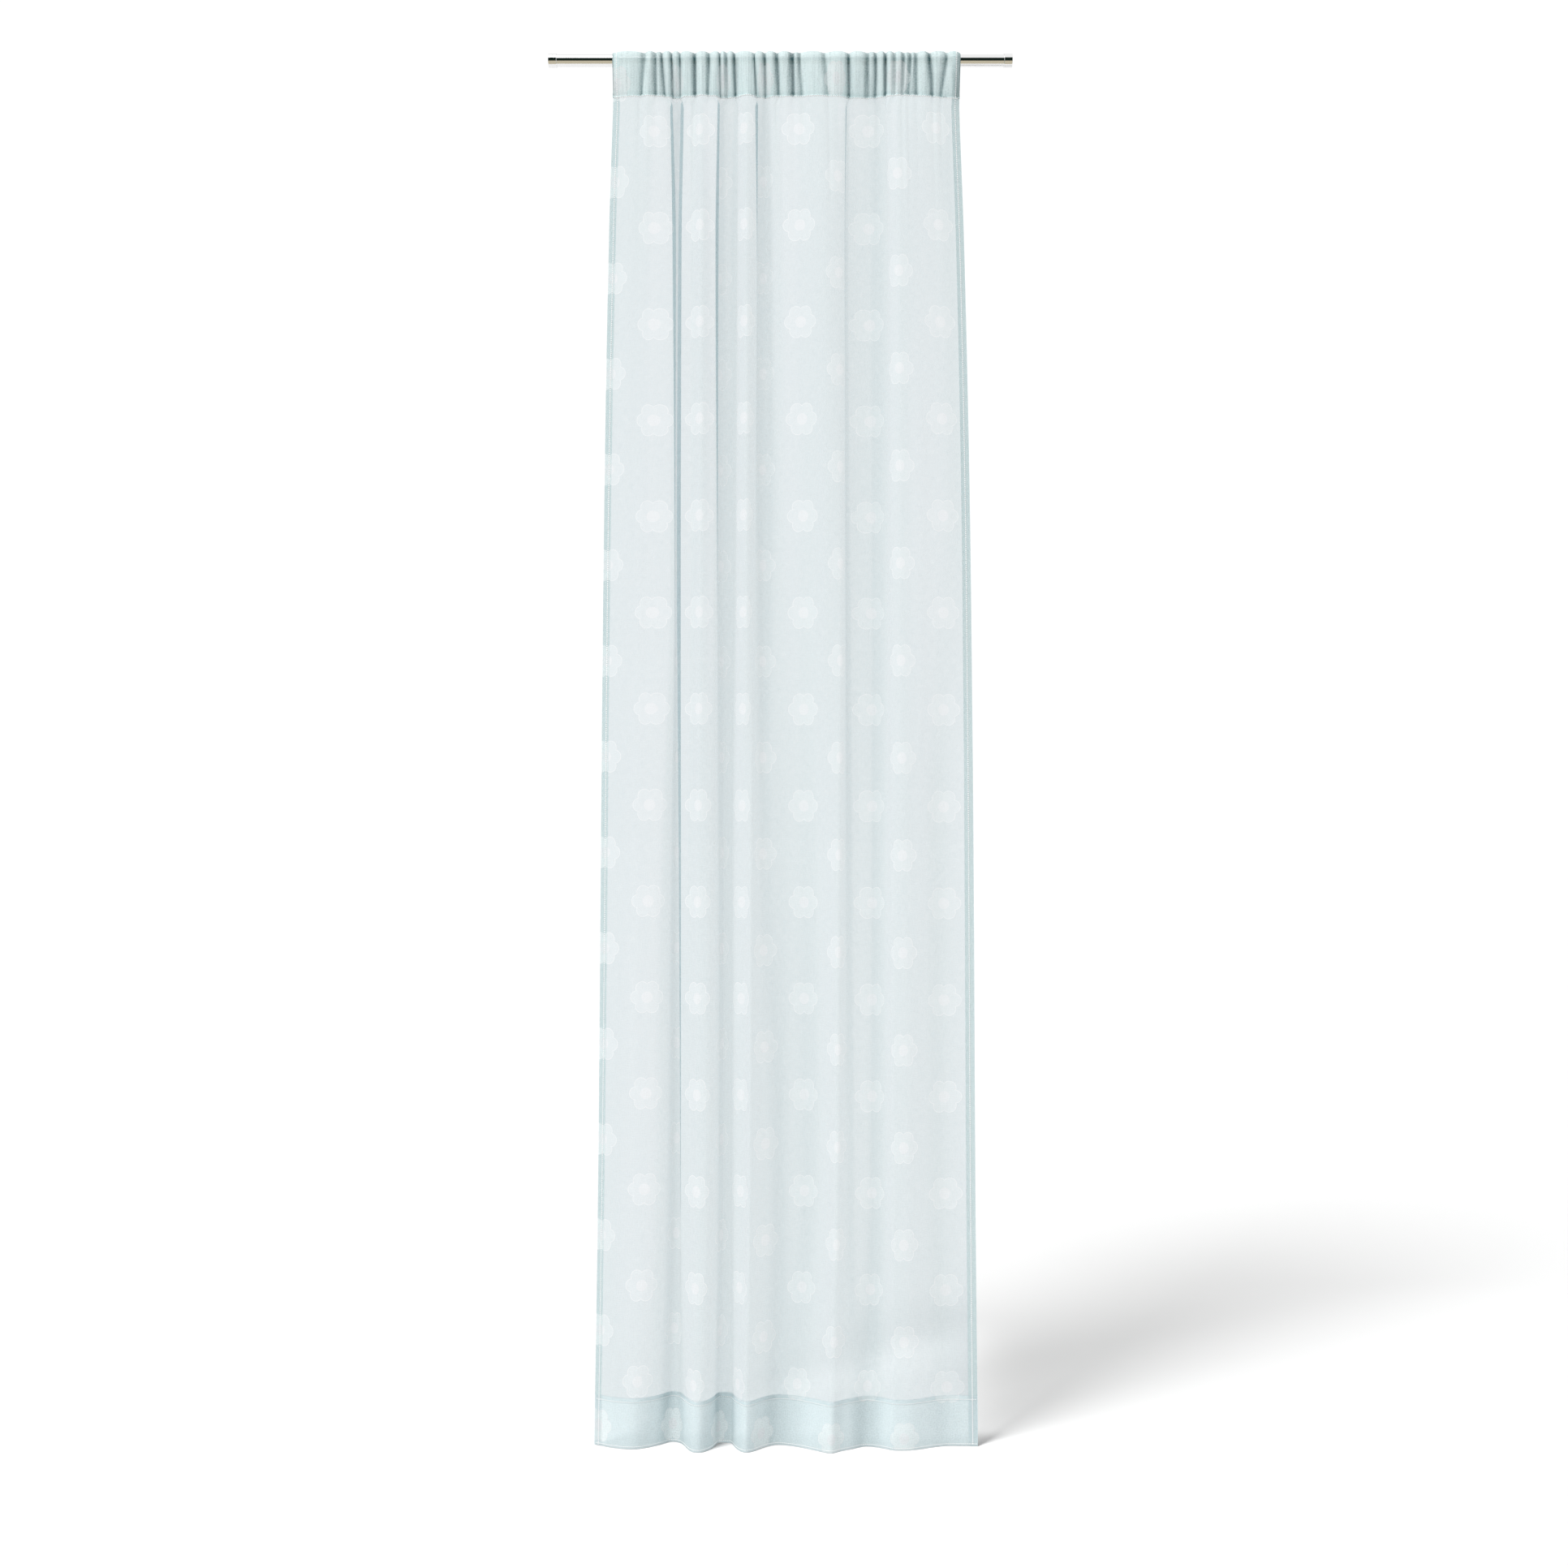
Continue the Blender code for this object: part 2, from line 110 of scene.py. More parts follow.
# %% [markdown]
# ## The folds as a table
#
# A hung curtain could be simulated, but the folds would not be this curtain's. A table says it better: each
# row is one turn of the cloth, from the left edge to the right. It notes how far along the cloth the turn
# is, whether the stretch that ends there comes into the room (1) or goes back (-1), high up and at the
# foot, and where the turn lies across at six heights. Where the place across goes down instead of up, the
# cloth doubles back over itself, and three layers show as a dark stripe.

# %% Tables of turns, shares and dips
FOLD_DROPS = (77, 316, 876, 1436, 1960, 2400)
Turn = namedtuple("Turn", "name along heading at_foot across")
TURNS = (
    Turn("left edge", 0, 0, 0, (-290, -298, -307, -312, -317, -324)),
    Turn("left hem", 18, 0.3, 1, (-274, -282, -291, -296, -302, -309)),
    Turn("first face, left", 45, 0.8, 0.7, (-253, -259, -266, -272, -279, -289)),
    Turn("first face, right", 87, 0.2, 0.45, (-223, -223, -226, -232, -239, -255)),
    Turn("first face, lip", 130, -1, -0.65, (-186, -180, -182, -194, -201, -219)),
    Turn("behind that lip", 150, -1, -0.95, (-192, -188, -184, -188, -192, -204)),
    Turn("first hollow", 171, -0.6, -0.65, (-176, -179, -181, -183, -184, -191)),
    Turn("end of that hollow", 187, 1, 0.65, (-167, -171, -172, -172, -173, -178)),
    Turn("second face, lip", 209, 1, 1, (-173, -177, -180, -177, -174, -168)),
    Turn("second face, rise", 235, 0.2, 1, (-152, -153, -154, -156, -158, -161)),
    Turn("second face", 260, 1, 1, (-138, -136, -137, -140, -142, -150)),
    Turn("second face, middle", 278, -1, 0.35, (-121, -121, -122, -126, -128, -139)),
    Turn("second face, right lip", 296, -1, -0.6, (-104, -106, -108, -113, -116, -127)),
    Turn("behind that lip", 317, -1, -1, (-109, -113, -110, -108, -109, -116)),
    Turn("second hollow", 344, -0.6, -0.9, (-104, -104, -101, -100, -101, -107)),
    Turn("end of that hollow", 380, 0.6, 0.4, (-74, -76, -79, -85, -86, -85)),
    Turn("third face, lip", 400, 1, 1, (-73, -73, -75, -79, -81, -81)),
    Turn("third face", 429, 1, 0.95, (-57, -57, -58, -61, -63, -74)),
    Turn("third face, right lip", 456, -1, 0.95, (-38, -40, -46, -51, -54, -60)),
    Turn("behind that lip", 480, -1, -0.2, (-44, -41, -41, -42, -42, -46)),
    Turn("third hollow", 507, -0.4, -0.7, (-25, -26, -28, -27, -21, -31)),
    Turn("fourth face, lip", 542, 1, -0.4, (-9, -6, 1, 3, 4, -6)),
    Turn("fourth face, left", 584, 0.7, 0.55, (33, 34, 40, 41, 42, 24)),
    Turn("fourth face", 634, 0.5, 1, (74, 76, 80, 79, 78, 62)),
    Turn("fourth face, right", 667, -0.5, 1, (98, 101, 105, 101, 98, 88)),
    Turn("fourth face, right lip", 688, -1, -0.8, (115, 112, 112, 111, 110, 103)),
    Turn("behind that lip", 708, -1, -0.55, (113, 112, 115, 118, 120, 119)),
    Turn("fourth hollow", 750, -0.5, -0.55, (155, 157, 161, 162, 161, 149)),
    Turn("end of that hollow", 791, 0.7, 0.65, (183, 185, 186, 186, 186, 182)),
    Turn("fifth face, lip", 807, 1, 0.95, (182, 188, 191, 193, 194, 194)),
    Turn("fifth face", 833, 0.8, 0.05, (202, 205, 208, 212, 214, 215)),
    Turn("fifth face, right", 916, -0.7, -1, (271, 277, 285, 286, 288, 293)),
    Turn("right hem", 947, -1, -1, (295, 304, 314, 318, 321, 325)),
    Turn("right edge", 965, -0.4, -1, (311, 320, 331, 336, 339, 343)),
)

# How much of the full fold depth is there, and how much of the gathers' height is left, at each drop (mm).
Share = namedtuple("Share", "drop fold gather")
SHARES = (
    Share(55, 0.28, 0.55),
    Share(77, 0.46, 0.42),
    Share(120, 0.68, 0.24),
    Share(200, 0.88, 0.12),
    Share(330, 1.00, 0.05),
    Share(520, 1.00, 0.00),
    Share(2400, 1.00, 0.00),
)

# The dips between the gathers on the rod: where each is across (mm), how deep (1 is full), and how far its
# foot at the seam lies to the right of its top (mm).
Dip = namedtuple("Dip", "across depth lean")
DIPS = (
    Dip(-289, 0.6, 0), Dip(-237, 0.7, -8), Dip(-215, 0.7, 0), Dip(-202, 0.8, 9), Dip(-187, 0.9, 2),
    Dip(-173, 0.8, 0), Dip(-147, 1.0, 1), Dip(-124, 0.8, -4), Dip(-104, 0.9, 1), Dip(-93, 0.6, 0),
    Dip(-78, 1.0, 5), Dip(-43, 0.9, 10), Dip(-26, 0.9, 2), Dip(-4, 0.9, 5), Dip(22, 1.0, 1),
    Dip(35, 0.6, 4), Dip(79, 0.6, 8), Dip(119, 1.0, 2), Dip(151, 0.7, 0), Dip(165, 0.8, 0),
    Dip(182, 1.0, 1), Dip(197, 0.6, 0), Dip(212, 0.7, -3), Dip(223, 0.8, -6), Dip(235, 0.7, 2),
    Dip(261, 1.0, 8), Dip(282, 0.7, -14), Dip(310, 0.6, 0),
)  # fmt: skip
print(len(TURNS), "turns,", len(DIPS), "dips between gathers")

# %% [markdown]
# ## Curves through the tables
#
# Two tools turn a table into cloth. One draws a smooth curve through noted values without swinging past
# them, which a plain cubic would do. The other rounds a path, by averaging each point with its neighbours
# under a bell curve.

# %% Smooth curve and bell average
EVEN_STEPS = 966
EVERY = np.linspace(0.0, CLOTH_WIDTH, EVEN_STEPS)


def column(table, name):
    """One column of a table of named rows, as it stands there."""
    return np.array([getattr(row, name) for row in table], float)


def eased(part):
    """0 below 0, 1 above 1 and smooth between: three times the square less twice the cube."""
    part = np.clip(part, 0, 1)
    return part**2 * (3 - 2 * part)


def bell(away, reach):
    """A bell curve: 1 where away is nought, and e to the power of minus a half where it is the reach."""
    return np.exp(-0.5 * (away / reach) ** 2)


def through(knots, values, at):
    """A smooth curve through the values at the knots that never swings past them.

    It is a cubic between knots. Its slope at a knot is the harmonic mean of the slopes on the two sides, or
    nought where one side rises and the other falls. values has a row for each knot, and the result a row
    for each of at.
    """
    knots, at = np.asarray(knots, float), np.asarray(at, float)
    values = np.asarray(values, float).reshape(len(knots), -1)
    gap = np.diff(knots)[:, None]
    rise = np.diff(values, axis=0) / gap
    before, after = rise[:-1], rise[1:]
    same_way = before * after > 0
    both = np.where(same_way, before + after, 1.0)
    slope = np.vstack([rise[:1], np.where(same_way, 2 * before * after / both, 0.0), rise[-1:]])
    k = np.clip(np.searchsorted(knots, at, side="right") - 1, 0, len(knots) - 2)
    t = (at - knots[k])[:, None] / gap[k]
    from_left = (1 + 2 * t) * (1 - t) ** 2 * values[k] + t * (1 - t) ** 2 * gap[k] * slope[k]
    from_right = t**2 * (3 - 2 * t) * values[k + 1] - t**2 * (1 - t) * gap[k] * slope[k + 1]
    return from_left + from_right


def bell_average(along, values, reach):
    """Each value's average with its neighbours, weighted by a bell curve of this reach along the cloth.

    Past an end, the values go on as the same path turned half round about that end, so the ends stay in
    place.
    """
    start, end = values[:1], values[-1:]
    beyond = np.concatenate([2 * along[0] - along[:0:-1], along, 2 * along[-1] - along[-2::-1]])
    values = np.concatenate([2 * start - values[:0:-1], values, 2 * end - values[-2::-1]])
    weight = bell(along[:, None] - beyond[None, :], reach) * np.gradient(beyond)[None, :]
    return weight @ values / weight.sum(axis=1, keepdims=True)


def softened(along, values, reach):
    """Values for each of EVERY with their turns rounded over this reach, read at the distances along."""
    return through(EVERY, bell_average(EVERY, values, reach), along)


print("a curve through 0, 1, 0 at its quarters:", through([0, 1, 2], [0, 1, 0], [0.5, 1.5])[:, 0])

# %% [markdown]
# ## Folds below the seam
#
# Voile cannot stretch. So where a stretch of cloth covers less across than its own length, it must go into
# the room or back by what is left, and the depth of every fold follows from the table of places across.

# %% Folds
AVERAGE_REACH = 0.140
CREASE_REACH = 0.0040
FOOT_REACH = 0.0065
SOFTENS_FROM, SOFTENS_TO = 0.35, 1.9
POCKET_REACH = 0.026


def toward_foot(drops):
    """0 above the height where the folds start to soften, 1 near the foot and smooth between."""
    return eased((drops - SOFTENS_FROM) / (SOFTENS_TO - SOFTENS_FROM))


def fold_depths(across, drops):
    """How far into the room each turn lies: the sum, from the left edge, of the square root of each
    stretch's length squared less its step across squared, less the sum's own broad average, because the
    panel hangs straight."""
    along = column(TURNS, "along") * MM
    length = np.diff(along)[:, None]
    spare = np.sqrt(np.clip(length**2 - np.diff(across, axis=0) ** 2, 0, None))
    high, low = column(TURNS, "heading")[1:, None], column(TURNS, "at_foot")[1:, None]
    depth = np.cumsum(spare * (high + (low - high) * toward_foot(drops)), axis=0)
    depth = np.vstack([np.zeros_like(depth[:1]), depth])
    weight = bell(along[:, None] - along[None, :], AVERAGE_REACH) * np.gradient(along)[None, :]
    return depth - weight @ depth / weight.sum(axis=1, keepdims=True)


def fold_rows(along, drops):
    """Where the folds put the cloth across and into the room, for distances along it (rows) and drops
    (columns). The turns are rounded over a short reach high up and over a longer one at the foot."""
    levels = np.array(FOLD_DROPS) * MM
    across = through(levels, column(TURNS, "across").T * MM, np.maximum(drops, levels[0])).T
    shares = through(column(SHARES, "drop") * MM, column(SHARES, "fold"), drops)[:, 0]
    turns = np.hstack([across, fold_depths(across, drops) * shares])
    path = through(column(TURNS, "along") * MM, turns, EVERY)
    tight, loose = softened(along, path, CREASE_REACH), softened(along, path, FOOT_REACH)
    both = tight + (loose - tight) * np.tile(toward_foot(drops), 2)
    return both[:, : len(drops)], both[:, len(drops) :]


foot_across, foot_depth = fold_rows(EVERY, np.array([HEM_DROP]))
print(f"at the foot the panel is {np.ptp(foot_across):.3f} m wide, its folds {np.ptp(foot_depth):.3f} m deep")

# %% [markdown]
# ## Gathers on the rod
#
# Pushed along the rod, the pocket stands off it in ridges with sharp dips between them. The ridges lean a
# little, so each dip's foot at the seam lies to one side of its top. They are lower on top of the rod,
# where the weight of the cloth pulls them down, and they die out below the seam.

# %% Gathers
RIDGE = 0.012
RIDGE_PER_WIDTH = 0.52
RIDGE_ON_TOP = 0.26
RIDGE_BEHIND = 0.70
RIDGE_FALLS = 3
ROUNDNESS = 2.3
GATHER_REACH = 0.0016
SHADE_LEFT, SHADE_RIGHT = 0.0030, 0.0085


def pocket_across(along):
    """Where the cloth lies across on the rod: the topmost folds, evened out so that none doubles back."""
    top = np.array(FOLD_DROPS[:1]) * MM
    return softened(along, fold_rows(EVERY, top)[0], POCKET_REACH)[:, 0]


DIP_DEPTH = column(DIPS, "depth")
LOW = np.interp(column(DIPS, "across") * MM, pocket_across(EVERY), EVERY)
LOW[0], LOW[-1] = 0.0, CLOTH_WIDTH


def dip_before(along):
    """The number of the last dip before each distance along the cloth."""
    return np.clip(np.searchsorted(LOW, along, side="right") - 1, 0, len(LOW) - 2)


def ridge_shape(along):
    """How far the cloth stands off the rod: between two dips it rises as 1 - |2f - 1| ** roundness, where f
    goes from 0 to 1 between them, times a height that grows with their distance. A shallow dip keeps some
    of it."""
    k = dip_before(along)
    part = np.clip((along - LOW[k]) / (LOW[k + 1] - LOW[k]), 0, 1)
    high = np.minimum(RIDGE_PER_WIDTH * np.diff(LOW), RIDGE)[k]
    kept = RIDGE * (1 - DIP_DEPTH) / 2
    base = kept[k] * (1 - part) + kept[k + 1] * part
    return base + (high - base) * (1 - np.abs(2 * part - 1) ** ROUNDNESS)


def dip_shade(along):
    """How deep in shade the cloth lies between two ridges, from 0 to 1. The light comes from the left, so a
    ridge's right side darkens slowly toward the next dip, and past the dip the next ridge's left side
    clears at once."""
    k = dip_before(along)
    before = DIP_DEPTH[k + 1] * np.exp(-(((LOW[k + 1] - along) / SHADE_RIGHT) ** 2))
    after = DIP_DEPTH[k] * np.exp(-(((along - LOW[k]) / SHADE_LEFT) ** 2))
    return np.maximum(before, after)


RIDGES = bell_average(EVERY, ridge_shape(EVERY)[:, None], GATHER_REACH)[:, 0]
SHADES = dip_shade(EVERY)


def leaning(along, lower, values):
    """Values that belong to the ridges, for distances along (rows) and for how far down the pocket each
    column is (0 at its top, 1 at the seam). They are read at a place that is shifted against the lean."""
    lean = np.interp(along, LOW, column(DIPS, "lean") * MM)
    shifted = along[:, None] - lean[:, None] * (lower[None, :] - 0.5)
    return np.interp(shifted, EVERY, values)


print(f"ridges stand up to {RIDGES.max() * 1000:.1f} mm off the rod")

# %% [markdown]
# ## Small creases
#
# Between the broad folds, voile keeps short soft creases: puckers along the stitched seam, tucks that run
# down from it, and long faint ones in the wide faces. Each is a small trough or ridge, listed with its own
# length and width.

# %% Table of creases
Crease = namedtuple("Crease", "name along top bottom width height")
CREASES = (
    Crease("tuck under the first gather", 58, 60, 210, 5.0, -1.6),
    Crease("tuck beside it", 76, 60, 300, 6.0, 1.4),
    Crease("tuck on the second face", 232, 60, 260, 5.0, 1.6),
    Crease("tuck right of it", 246, 60, 420, 5.0, -1.4),
    Crease("tuck on the third face", 420, 60, 330, 4.5, -1.3),
    Crease("tuck in the third hollow", 495, 60, 360, 6.0, 1.6),
    Crease("tuck on the fourth face", 556, 60, 480, 7.0, -1.8),
    Crease("tuck on its middle", 604, 60, 300, 8.0, 1.6),
    Crease("tuck near its right lip", 648, 60, 360, 6.0, -1.4),
    Crease("tuck in the fourth hollow", 722, 60, 330, 6.0, 1.5),
    Crease("tuck right of the hollow", 764, 60, 420, 7.0, -1.6),
    Crease("tuck on the fifth face", 850, 60, 300, 7.0, 1.5),
    Crease("tuck near the right edge", 922, 60, 240, 6.0, -1.5),
    Crease("long crease, first face", 70, 500, 1900, 16.0, 1.8),
    Crease("long crease, second face", 240, 700, 2250, 12.0, -1.6),
    Crease("long crease, fourth face", 612, 420, 2100, 18.0, -2.0),
    Crease("long crease, fourth hollow", 735, 600, 2300, 14.0, 1.5),
    Crease("long crease, fifth face", 872, 380, 1700, 18.0, 2.0),
)
TUCKS_START_ABOVE = 100
TUCK_FADES, CREASE_FADES = 1.6, 5.0
PUCKER, PUCKER_PITCH, PUCKER_REACH = 0.0006, 0.0095, 0.007
PUCKER_DRIFT, DRIFT_RATE = 0.4, 37.0


def creases(along, drops):
    """The creases' height: each is its height times a bell curve across the cloth, times a fade. A long
    crease rises and falls over a fifth of its length. A tuck is full at the seam and fades over most of its
    length. Along the seam a small wave of uneven pitch is added, which fades with the distance from it."""
    total = np.zeros((len(along), len(drops)))
    for crease in CREASES:
        over = bell(along - crease.along * MM, crease.width * MM / 2)
        part = (drops / MM - crease.top) / (crease.bottom - crease.top)
        is_tuck = crease.top < TUCKS_START_ABOVE
        fade = (1 - part) * TUCK_FADES if is_tuck else np.minimum(part, 1 - part) * CREASE_FADES
        total += crease.height * MM * over[:, None] * eased(fade)[None, :] * (part >= 0)
    drift = PUCKER_DRIFT * PUCKER_PITCH * np.sin(DRIFT_RATE * along)
    wave = np.sin(2 * np.pi * (along + drift) / PUCKER_PITCH)
    return total + PUCKER * wave[:, None] * bell(drops - SEAM_DROP, PUCKER_REACH)[None, :]


print(len(CREASES), "creases, and a pucker every", PUCKER_PITCH, "m along the seam")

# %% [markdown]
# ## The cloth as a surface of two distances
#
# Every point of the cloth is known by two flat distances: how far along it is from the left edge, and how
# far down it is from the front of the rod's axis. A distance below nought goes up over the rod and down the
# pocket's back.

# %% Surface of the cloth
BULGE = 0.30


def level_points(along, drops):
    """Points of the cloth below the seam: folds, with the gathers dying out in them, and creases."""
    across, into_room = fold_rows(along, drops)
    left = through(column(SHARES, "drop") * MM, column(SHARES, "gather"), drops)[:, 0]
    ridge = leaning(along, np.ones(1), RIDGES)
    into_room = into_room + (ridge - RIDGE / 2) * left + creases(along, drops)
    settled = np.clip((drops - SEAM_DROP) / (FOLD_DROPS[0] * MM - SEAM_DROP), 0, 1)
    on_rod = pocket_across(along)[:, None]
    across = on_rod + (across - on_rod) * settled
    return np.stack([across, -into_room, np.broadcast_to(-drops, across.shape)], axis=2)


def pocket_points(along, down):
    """Points of the pocket, for distances down the cloth that start behind the rod and end at the seam.

    Round the rod a point stands off its axis by a radius plus the ridge there. Below the axis, front and
    back go straight to the seam, and the ridges bulge a little on the way.
    """
    over = np.clip(-down / OVER_ROD, 0, 1)
    lower = np.clip(down / SEAM_DROP, 0, 1) + np.clip((-down - OVER_ROD) / SEAM_DROP, 0, 1)
    front, up = np.cos(np.pi * over), np.sin(np.pi * over)
    facing = np.abs(front) ** RIDGE_FALLS
    stands = np.where(front > 0, 1.0, RIDGE_BEHIND) * facing + RIDGE_ON_TOP * (1 - facing)
    ridge = leaning(along, np.where(front > 0, lower, 0.0), RIDGES)
    away = RADIUS + ridge * stands[None, :]
    seam = level_points(along, np.array([SEAM_DROP]))[:, 0]
    y = -away * front * (1 - lower) + seam[:, 1:2] * lower
    y = y - np.sign(front) * ridge * stands * BULGE * np.sin(np.pi * lower)
    x = np.broadcast_to(pocket_across(along)[:, None], y.shape)
    z = np.where(lower > 0, -lower * SEAM_DROP, up * away)
    return np.stack([x, y, np.broadcast_to(z, y.shape)], axis=2)


def surface(along, down):
    """The cloth's points for distances along (first axis) and down (second axis)."""
    below = down >= SEAM_DROP
    return np.concatenate([pocket_points(along, down[~below]), level_points(along, down[below])], axis=1)


sample = surface(np.array([0.0, CLOTH_WIDTH]), np.array([-OVER_ROD, 0.0, HEM_DROP]))
print("left edge, behind the rod, in front of it and at the foot:", np.round(sample[0], 3).tolist())

# %% [markdown]
# ## One rectangle, turned over at its edges
#
# A sewn hem is not a band laid on the cloth but the cloth itself, turned over twice. So the mesh is one
# grid whose columns and rows pass over the same places more than once: a column list goes in from the left
# raw edge, turns at the fold, crosses the face and turns again, and the row list does the same at the
# pocket and the foot. Each pass lies a few tenths of a millimetre behind the last, and where two hems cross
# there are nine layers, as in the real corner. The flat coordinates of the uncut rectangle become the UV
# map.

# %% Columns and rows of the sheet
LAYER = 0.00024
FACE_COLUMNS, HEM_COLUMNS = 500, 4
EVEN_SHARE = 0.5
BEND_DROPS = (85, 120, 235, 430, 876, 1436, 2060, 2400)
POCKET_LEVELS = 4
Pass = namedtuple("Pass", "at flat layers way")


def one_pass(start, end, count, flat, layers, way=1):
    """Places from start to end, the flat distances onwards, how many layers behind, and which way round."""
    at = np.linspace(start, end, count)
    return Pass(at, flat + np.abs(at - start), np.full(count, float(layers)), np.full(count, float(way)))


def single(at):
    """Places that lie in one layer, where the flat distance is the place itself."""
    return Pass(at, at, np.zeros(len(at)), np.ones(len(at)))


def joined(passes):
    """Several passes one after the other."""
    return Pass(*(np.concatenate(field) for field in zip(*passes)))


def face_columns():
    """Distances along the face between the side hems: partly even, partly closer where the cloth bends."""
    points = level_points(EVERY, np.array(BEND_DROPS) * MM)
    on_rod = pocket_points(EVERY, np.linspace(0, SEAM_DROP, POCKET_LEVELS + 1)[:-1])
    points = np.concatenate([points, on_rod], axis=1)
    run = np.gradient(points, axis=0)
    angle = np.unwrap(np.arctan2(run[:, :, 1], run[:, :, 0]), axis=0)
    bend = np.abs(np.gradient(angle, axis=0)).mean(axis=1, keepdims=True)
    bend = bell_average(EVERY, bend, CREASE_REACH)[:, 0]
    share = np.cumsum(EVEN_SHARE / len(bend) + (1 - EVEN_SHARE) * bend / bend.sum())
    inner = np.interp(np.linspace(share[0], share[-1], FACE_COLUMNS), share, EVERY)
    clear = LEFT_HEM / HEM_COLUMNS
    return inner[(inner > LEFT_HEM + clear / 2) & (inner < CLOTH_WIDTH - RIGHT_HEM - clear / 2)]


inner = face_columns()
left, right = LEFT_HEM, CLOTH_WIDTH - RIGHT_HEM
raw_left, raw_right = RAW_CLEAR, CLOTH_WIDTH - RAW_CLEAR
flat_left = -2 * left + raw_left
columns = joined((
    one_pass(raw_left, left, HEM_COLUMNS, flat_left, 1),
    one_pass(left, 0.0, HEM_COLUMNS, -left, 2),
    one_pass(0.0, left, HEM_COLUMNS, 0.0, 0),
    single(inner),
    one_pass(right, CLOTH_WIDTH, HEM_COLUMNS, right, 0),
    one_pass(CLOTH_WIDTH, right, HEM_COLUMNS, CLOTH_WIDTH, 2),
    one_pass(right, raw_right, HEM_COLUMNS, CLOTH_WIDTH + RIGHT_HEM, 1),
))
print(len(columns.at), "columns over", round(float(np.ptp(columns.flat)), 3), "m of cut width")

# %% Rows of the sheet
POCKET_UNDER_ROWS, BACK_ROWS, OVER_ROWS, FRONT_ROWS = 4, 14, 16, 22
UPPER_ROWS, FALL_ROWS, FOOT_ROWS, FOOT_UNDER_ROWS = 24, 61, 7, 3
UPPER_END, CLOSER_AT_SEAM = 0.300, 1.7
# How many layers the foot hem's back and its raw edge lie behind the face, and the pocket's inside its back.
FOOT_BACK, FOOT_RAW, POCKET_RAW = 8, 3, 5
back = -OVER_ROD - SEAM_DROP
hem_top = HEM_DROP - FOOT_HEM
upper_rows = np.linspace(0, 1, UPPER_ROWS + 2)[1:-1] ** CLOSER_AT_SEAM * (UPPER_END - SEAM_DROP)
rows = joined((
    one_pass(back + TURNED_UNDER, back, POCKET_UNDER_ROWS, back - TURNED_UNDER, POCKET_RAW, -1),
    one_pass(back, -OVER_ROD, BACK_ROWS, back, 0),
    one_pass(-OVER_ROD, 0.0, OVER_ROWS, -OVER_ROD, 0),
    one_pass(0.0, SEAM_DROP, FRONT_ROWS, 0.0, 0),
    single(SEAM_DROP + upper_rows),
    single(np.linspace(UPPER_END, hem_top, FALL_ROWS + 1)[:-1]),
    one_pass(hem_top, HEM_DROP, FOOT_ROWS, hem_top, 0),
    one_pass(HEM_DROP, hem_top, FOOT_ROWS, HEM_DROP, FOOT_BACK, -1),
    one_pass(hem_top, hem_top + TURNED_UNDER, FOOT_UNDER_ROWS, HEM_DROP + FOOT_HEM, FOOT_RAW),
))
print(len(rows.at), "rows over", round(float(np.ptp(rows.flat)), 3), "m of cut length")

# %% [markdown]
# ## From passes to a mesh
#
# The surface is worked out once at each different place, and every pass picks its points from there and
# steps back by its layers. The pocket's back is its own surface behind the face, so it steps inwards. Two
# values are kept for each point. The first is how closely its threads crowd, seen from the room: cloth that
# turns away or is gathered packs more threads into each step across and hides more of what is behind it.
# It also carries painted light and shade: it is lowered on a side that faces the light and on crests, so
# they show lighter, and raised in hollows, so they show darker. The pocket and the foot hem count as more
# crowded too. The second is painted shade: how deep in shade the point lies, in the dips on the rod, in the
# hollows, or on a side that turns away from the light.

# %% Panel mesh
LEAST_STEP = 0.82
POCKET_CROWDING = 1.9
FOOT_CROWDING = 1.5
SHADE_ON_TOP = 0.35
# Painted light: on a side that faces the light the crowding's power falls by this share, so it shows lighter.
LIT_SHARE = 0.65
NEAR_REACH = 0.042
HOLLOW_DEPTH = 0.010
# Painted shade in hollows and painted light on crests: crowding grows in a hollow and falls on a crest by
# these shares.
HOLLOW_PAINTED_SHADE, CREST_PAINTED_LIGHT = 0.22, 0.05
HOLLOW_SHADE, TURNED_SHADE = 0.19, 0.03
SHARP_ANGLE = np.radians(75)
DECIMALS = 6


def unit_normals(grid):
    """Unit normals of a grid of points, from the cross product of its two steps, facing out of the pocket
    and into the room."""
    normal = np.cross(np.gradient(grid, axis=1), np.gradient(grid, axis=0))
    return normal / np.linalg.norm(normal, axis=2, keepdims=True)


def grid_mesh(name, points, uv, values):
    """A mesh of one quad between each four neighbours of a grid of points, with a UV map and named values."""
    index = np.arange(points[..., 0].size).reshape(points.shape[:2])
    quads = np.stack([index[:-1, 1:], index[1:, 1:], index[1:, :-1], index[:-1, :-1]], axis=2).reshape(-1, 4)
    mesh = bpy.data.meshes.new(name)
    mesh.from_pydata(points.reshape(-1, 3).tolist(), [], quads.tolist())
    layer = mesh.uv_layers.new(name="flat")
    layer.data.foreach_set("uv", uv.reshape(-1, 2)[quads.ravel()].ravel().astype(np.float32))
    for label, value in values.items():
        attribute = mesh.attributes.new(label, "FLOAT", "POINT")
        attribute.data.foreach_set("value", value.ravel().astype(np.float32))
    mesh.shade_smooth()
    return mesh


places_along, pick_along = np.unique(np.round(columns.at, DECIMALS), return_inverse=True)
places_down, pick_down = np.unique(np.round(rows.at, DECIMALS), return_inverse=True)
base = surface(places_along, places_down)
outward = unit_normals(base)
in_pocket = places_down < SEAM_DROP + SMALL_GAP
stands = bell_average(places_along, base[:, :, 1], NEAR_REACH) - base[:, :, 1]
proud = np.clip(stands / HOLLOW_DEPTH, -1, 1)


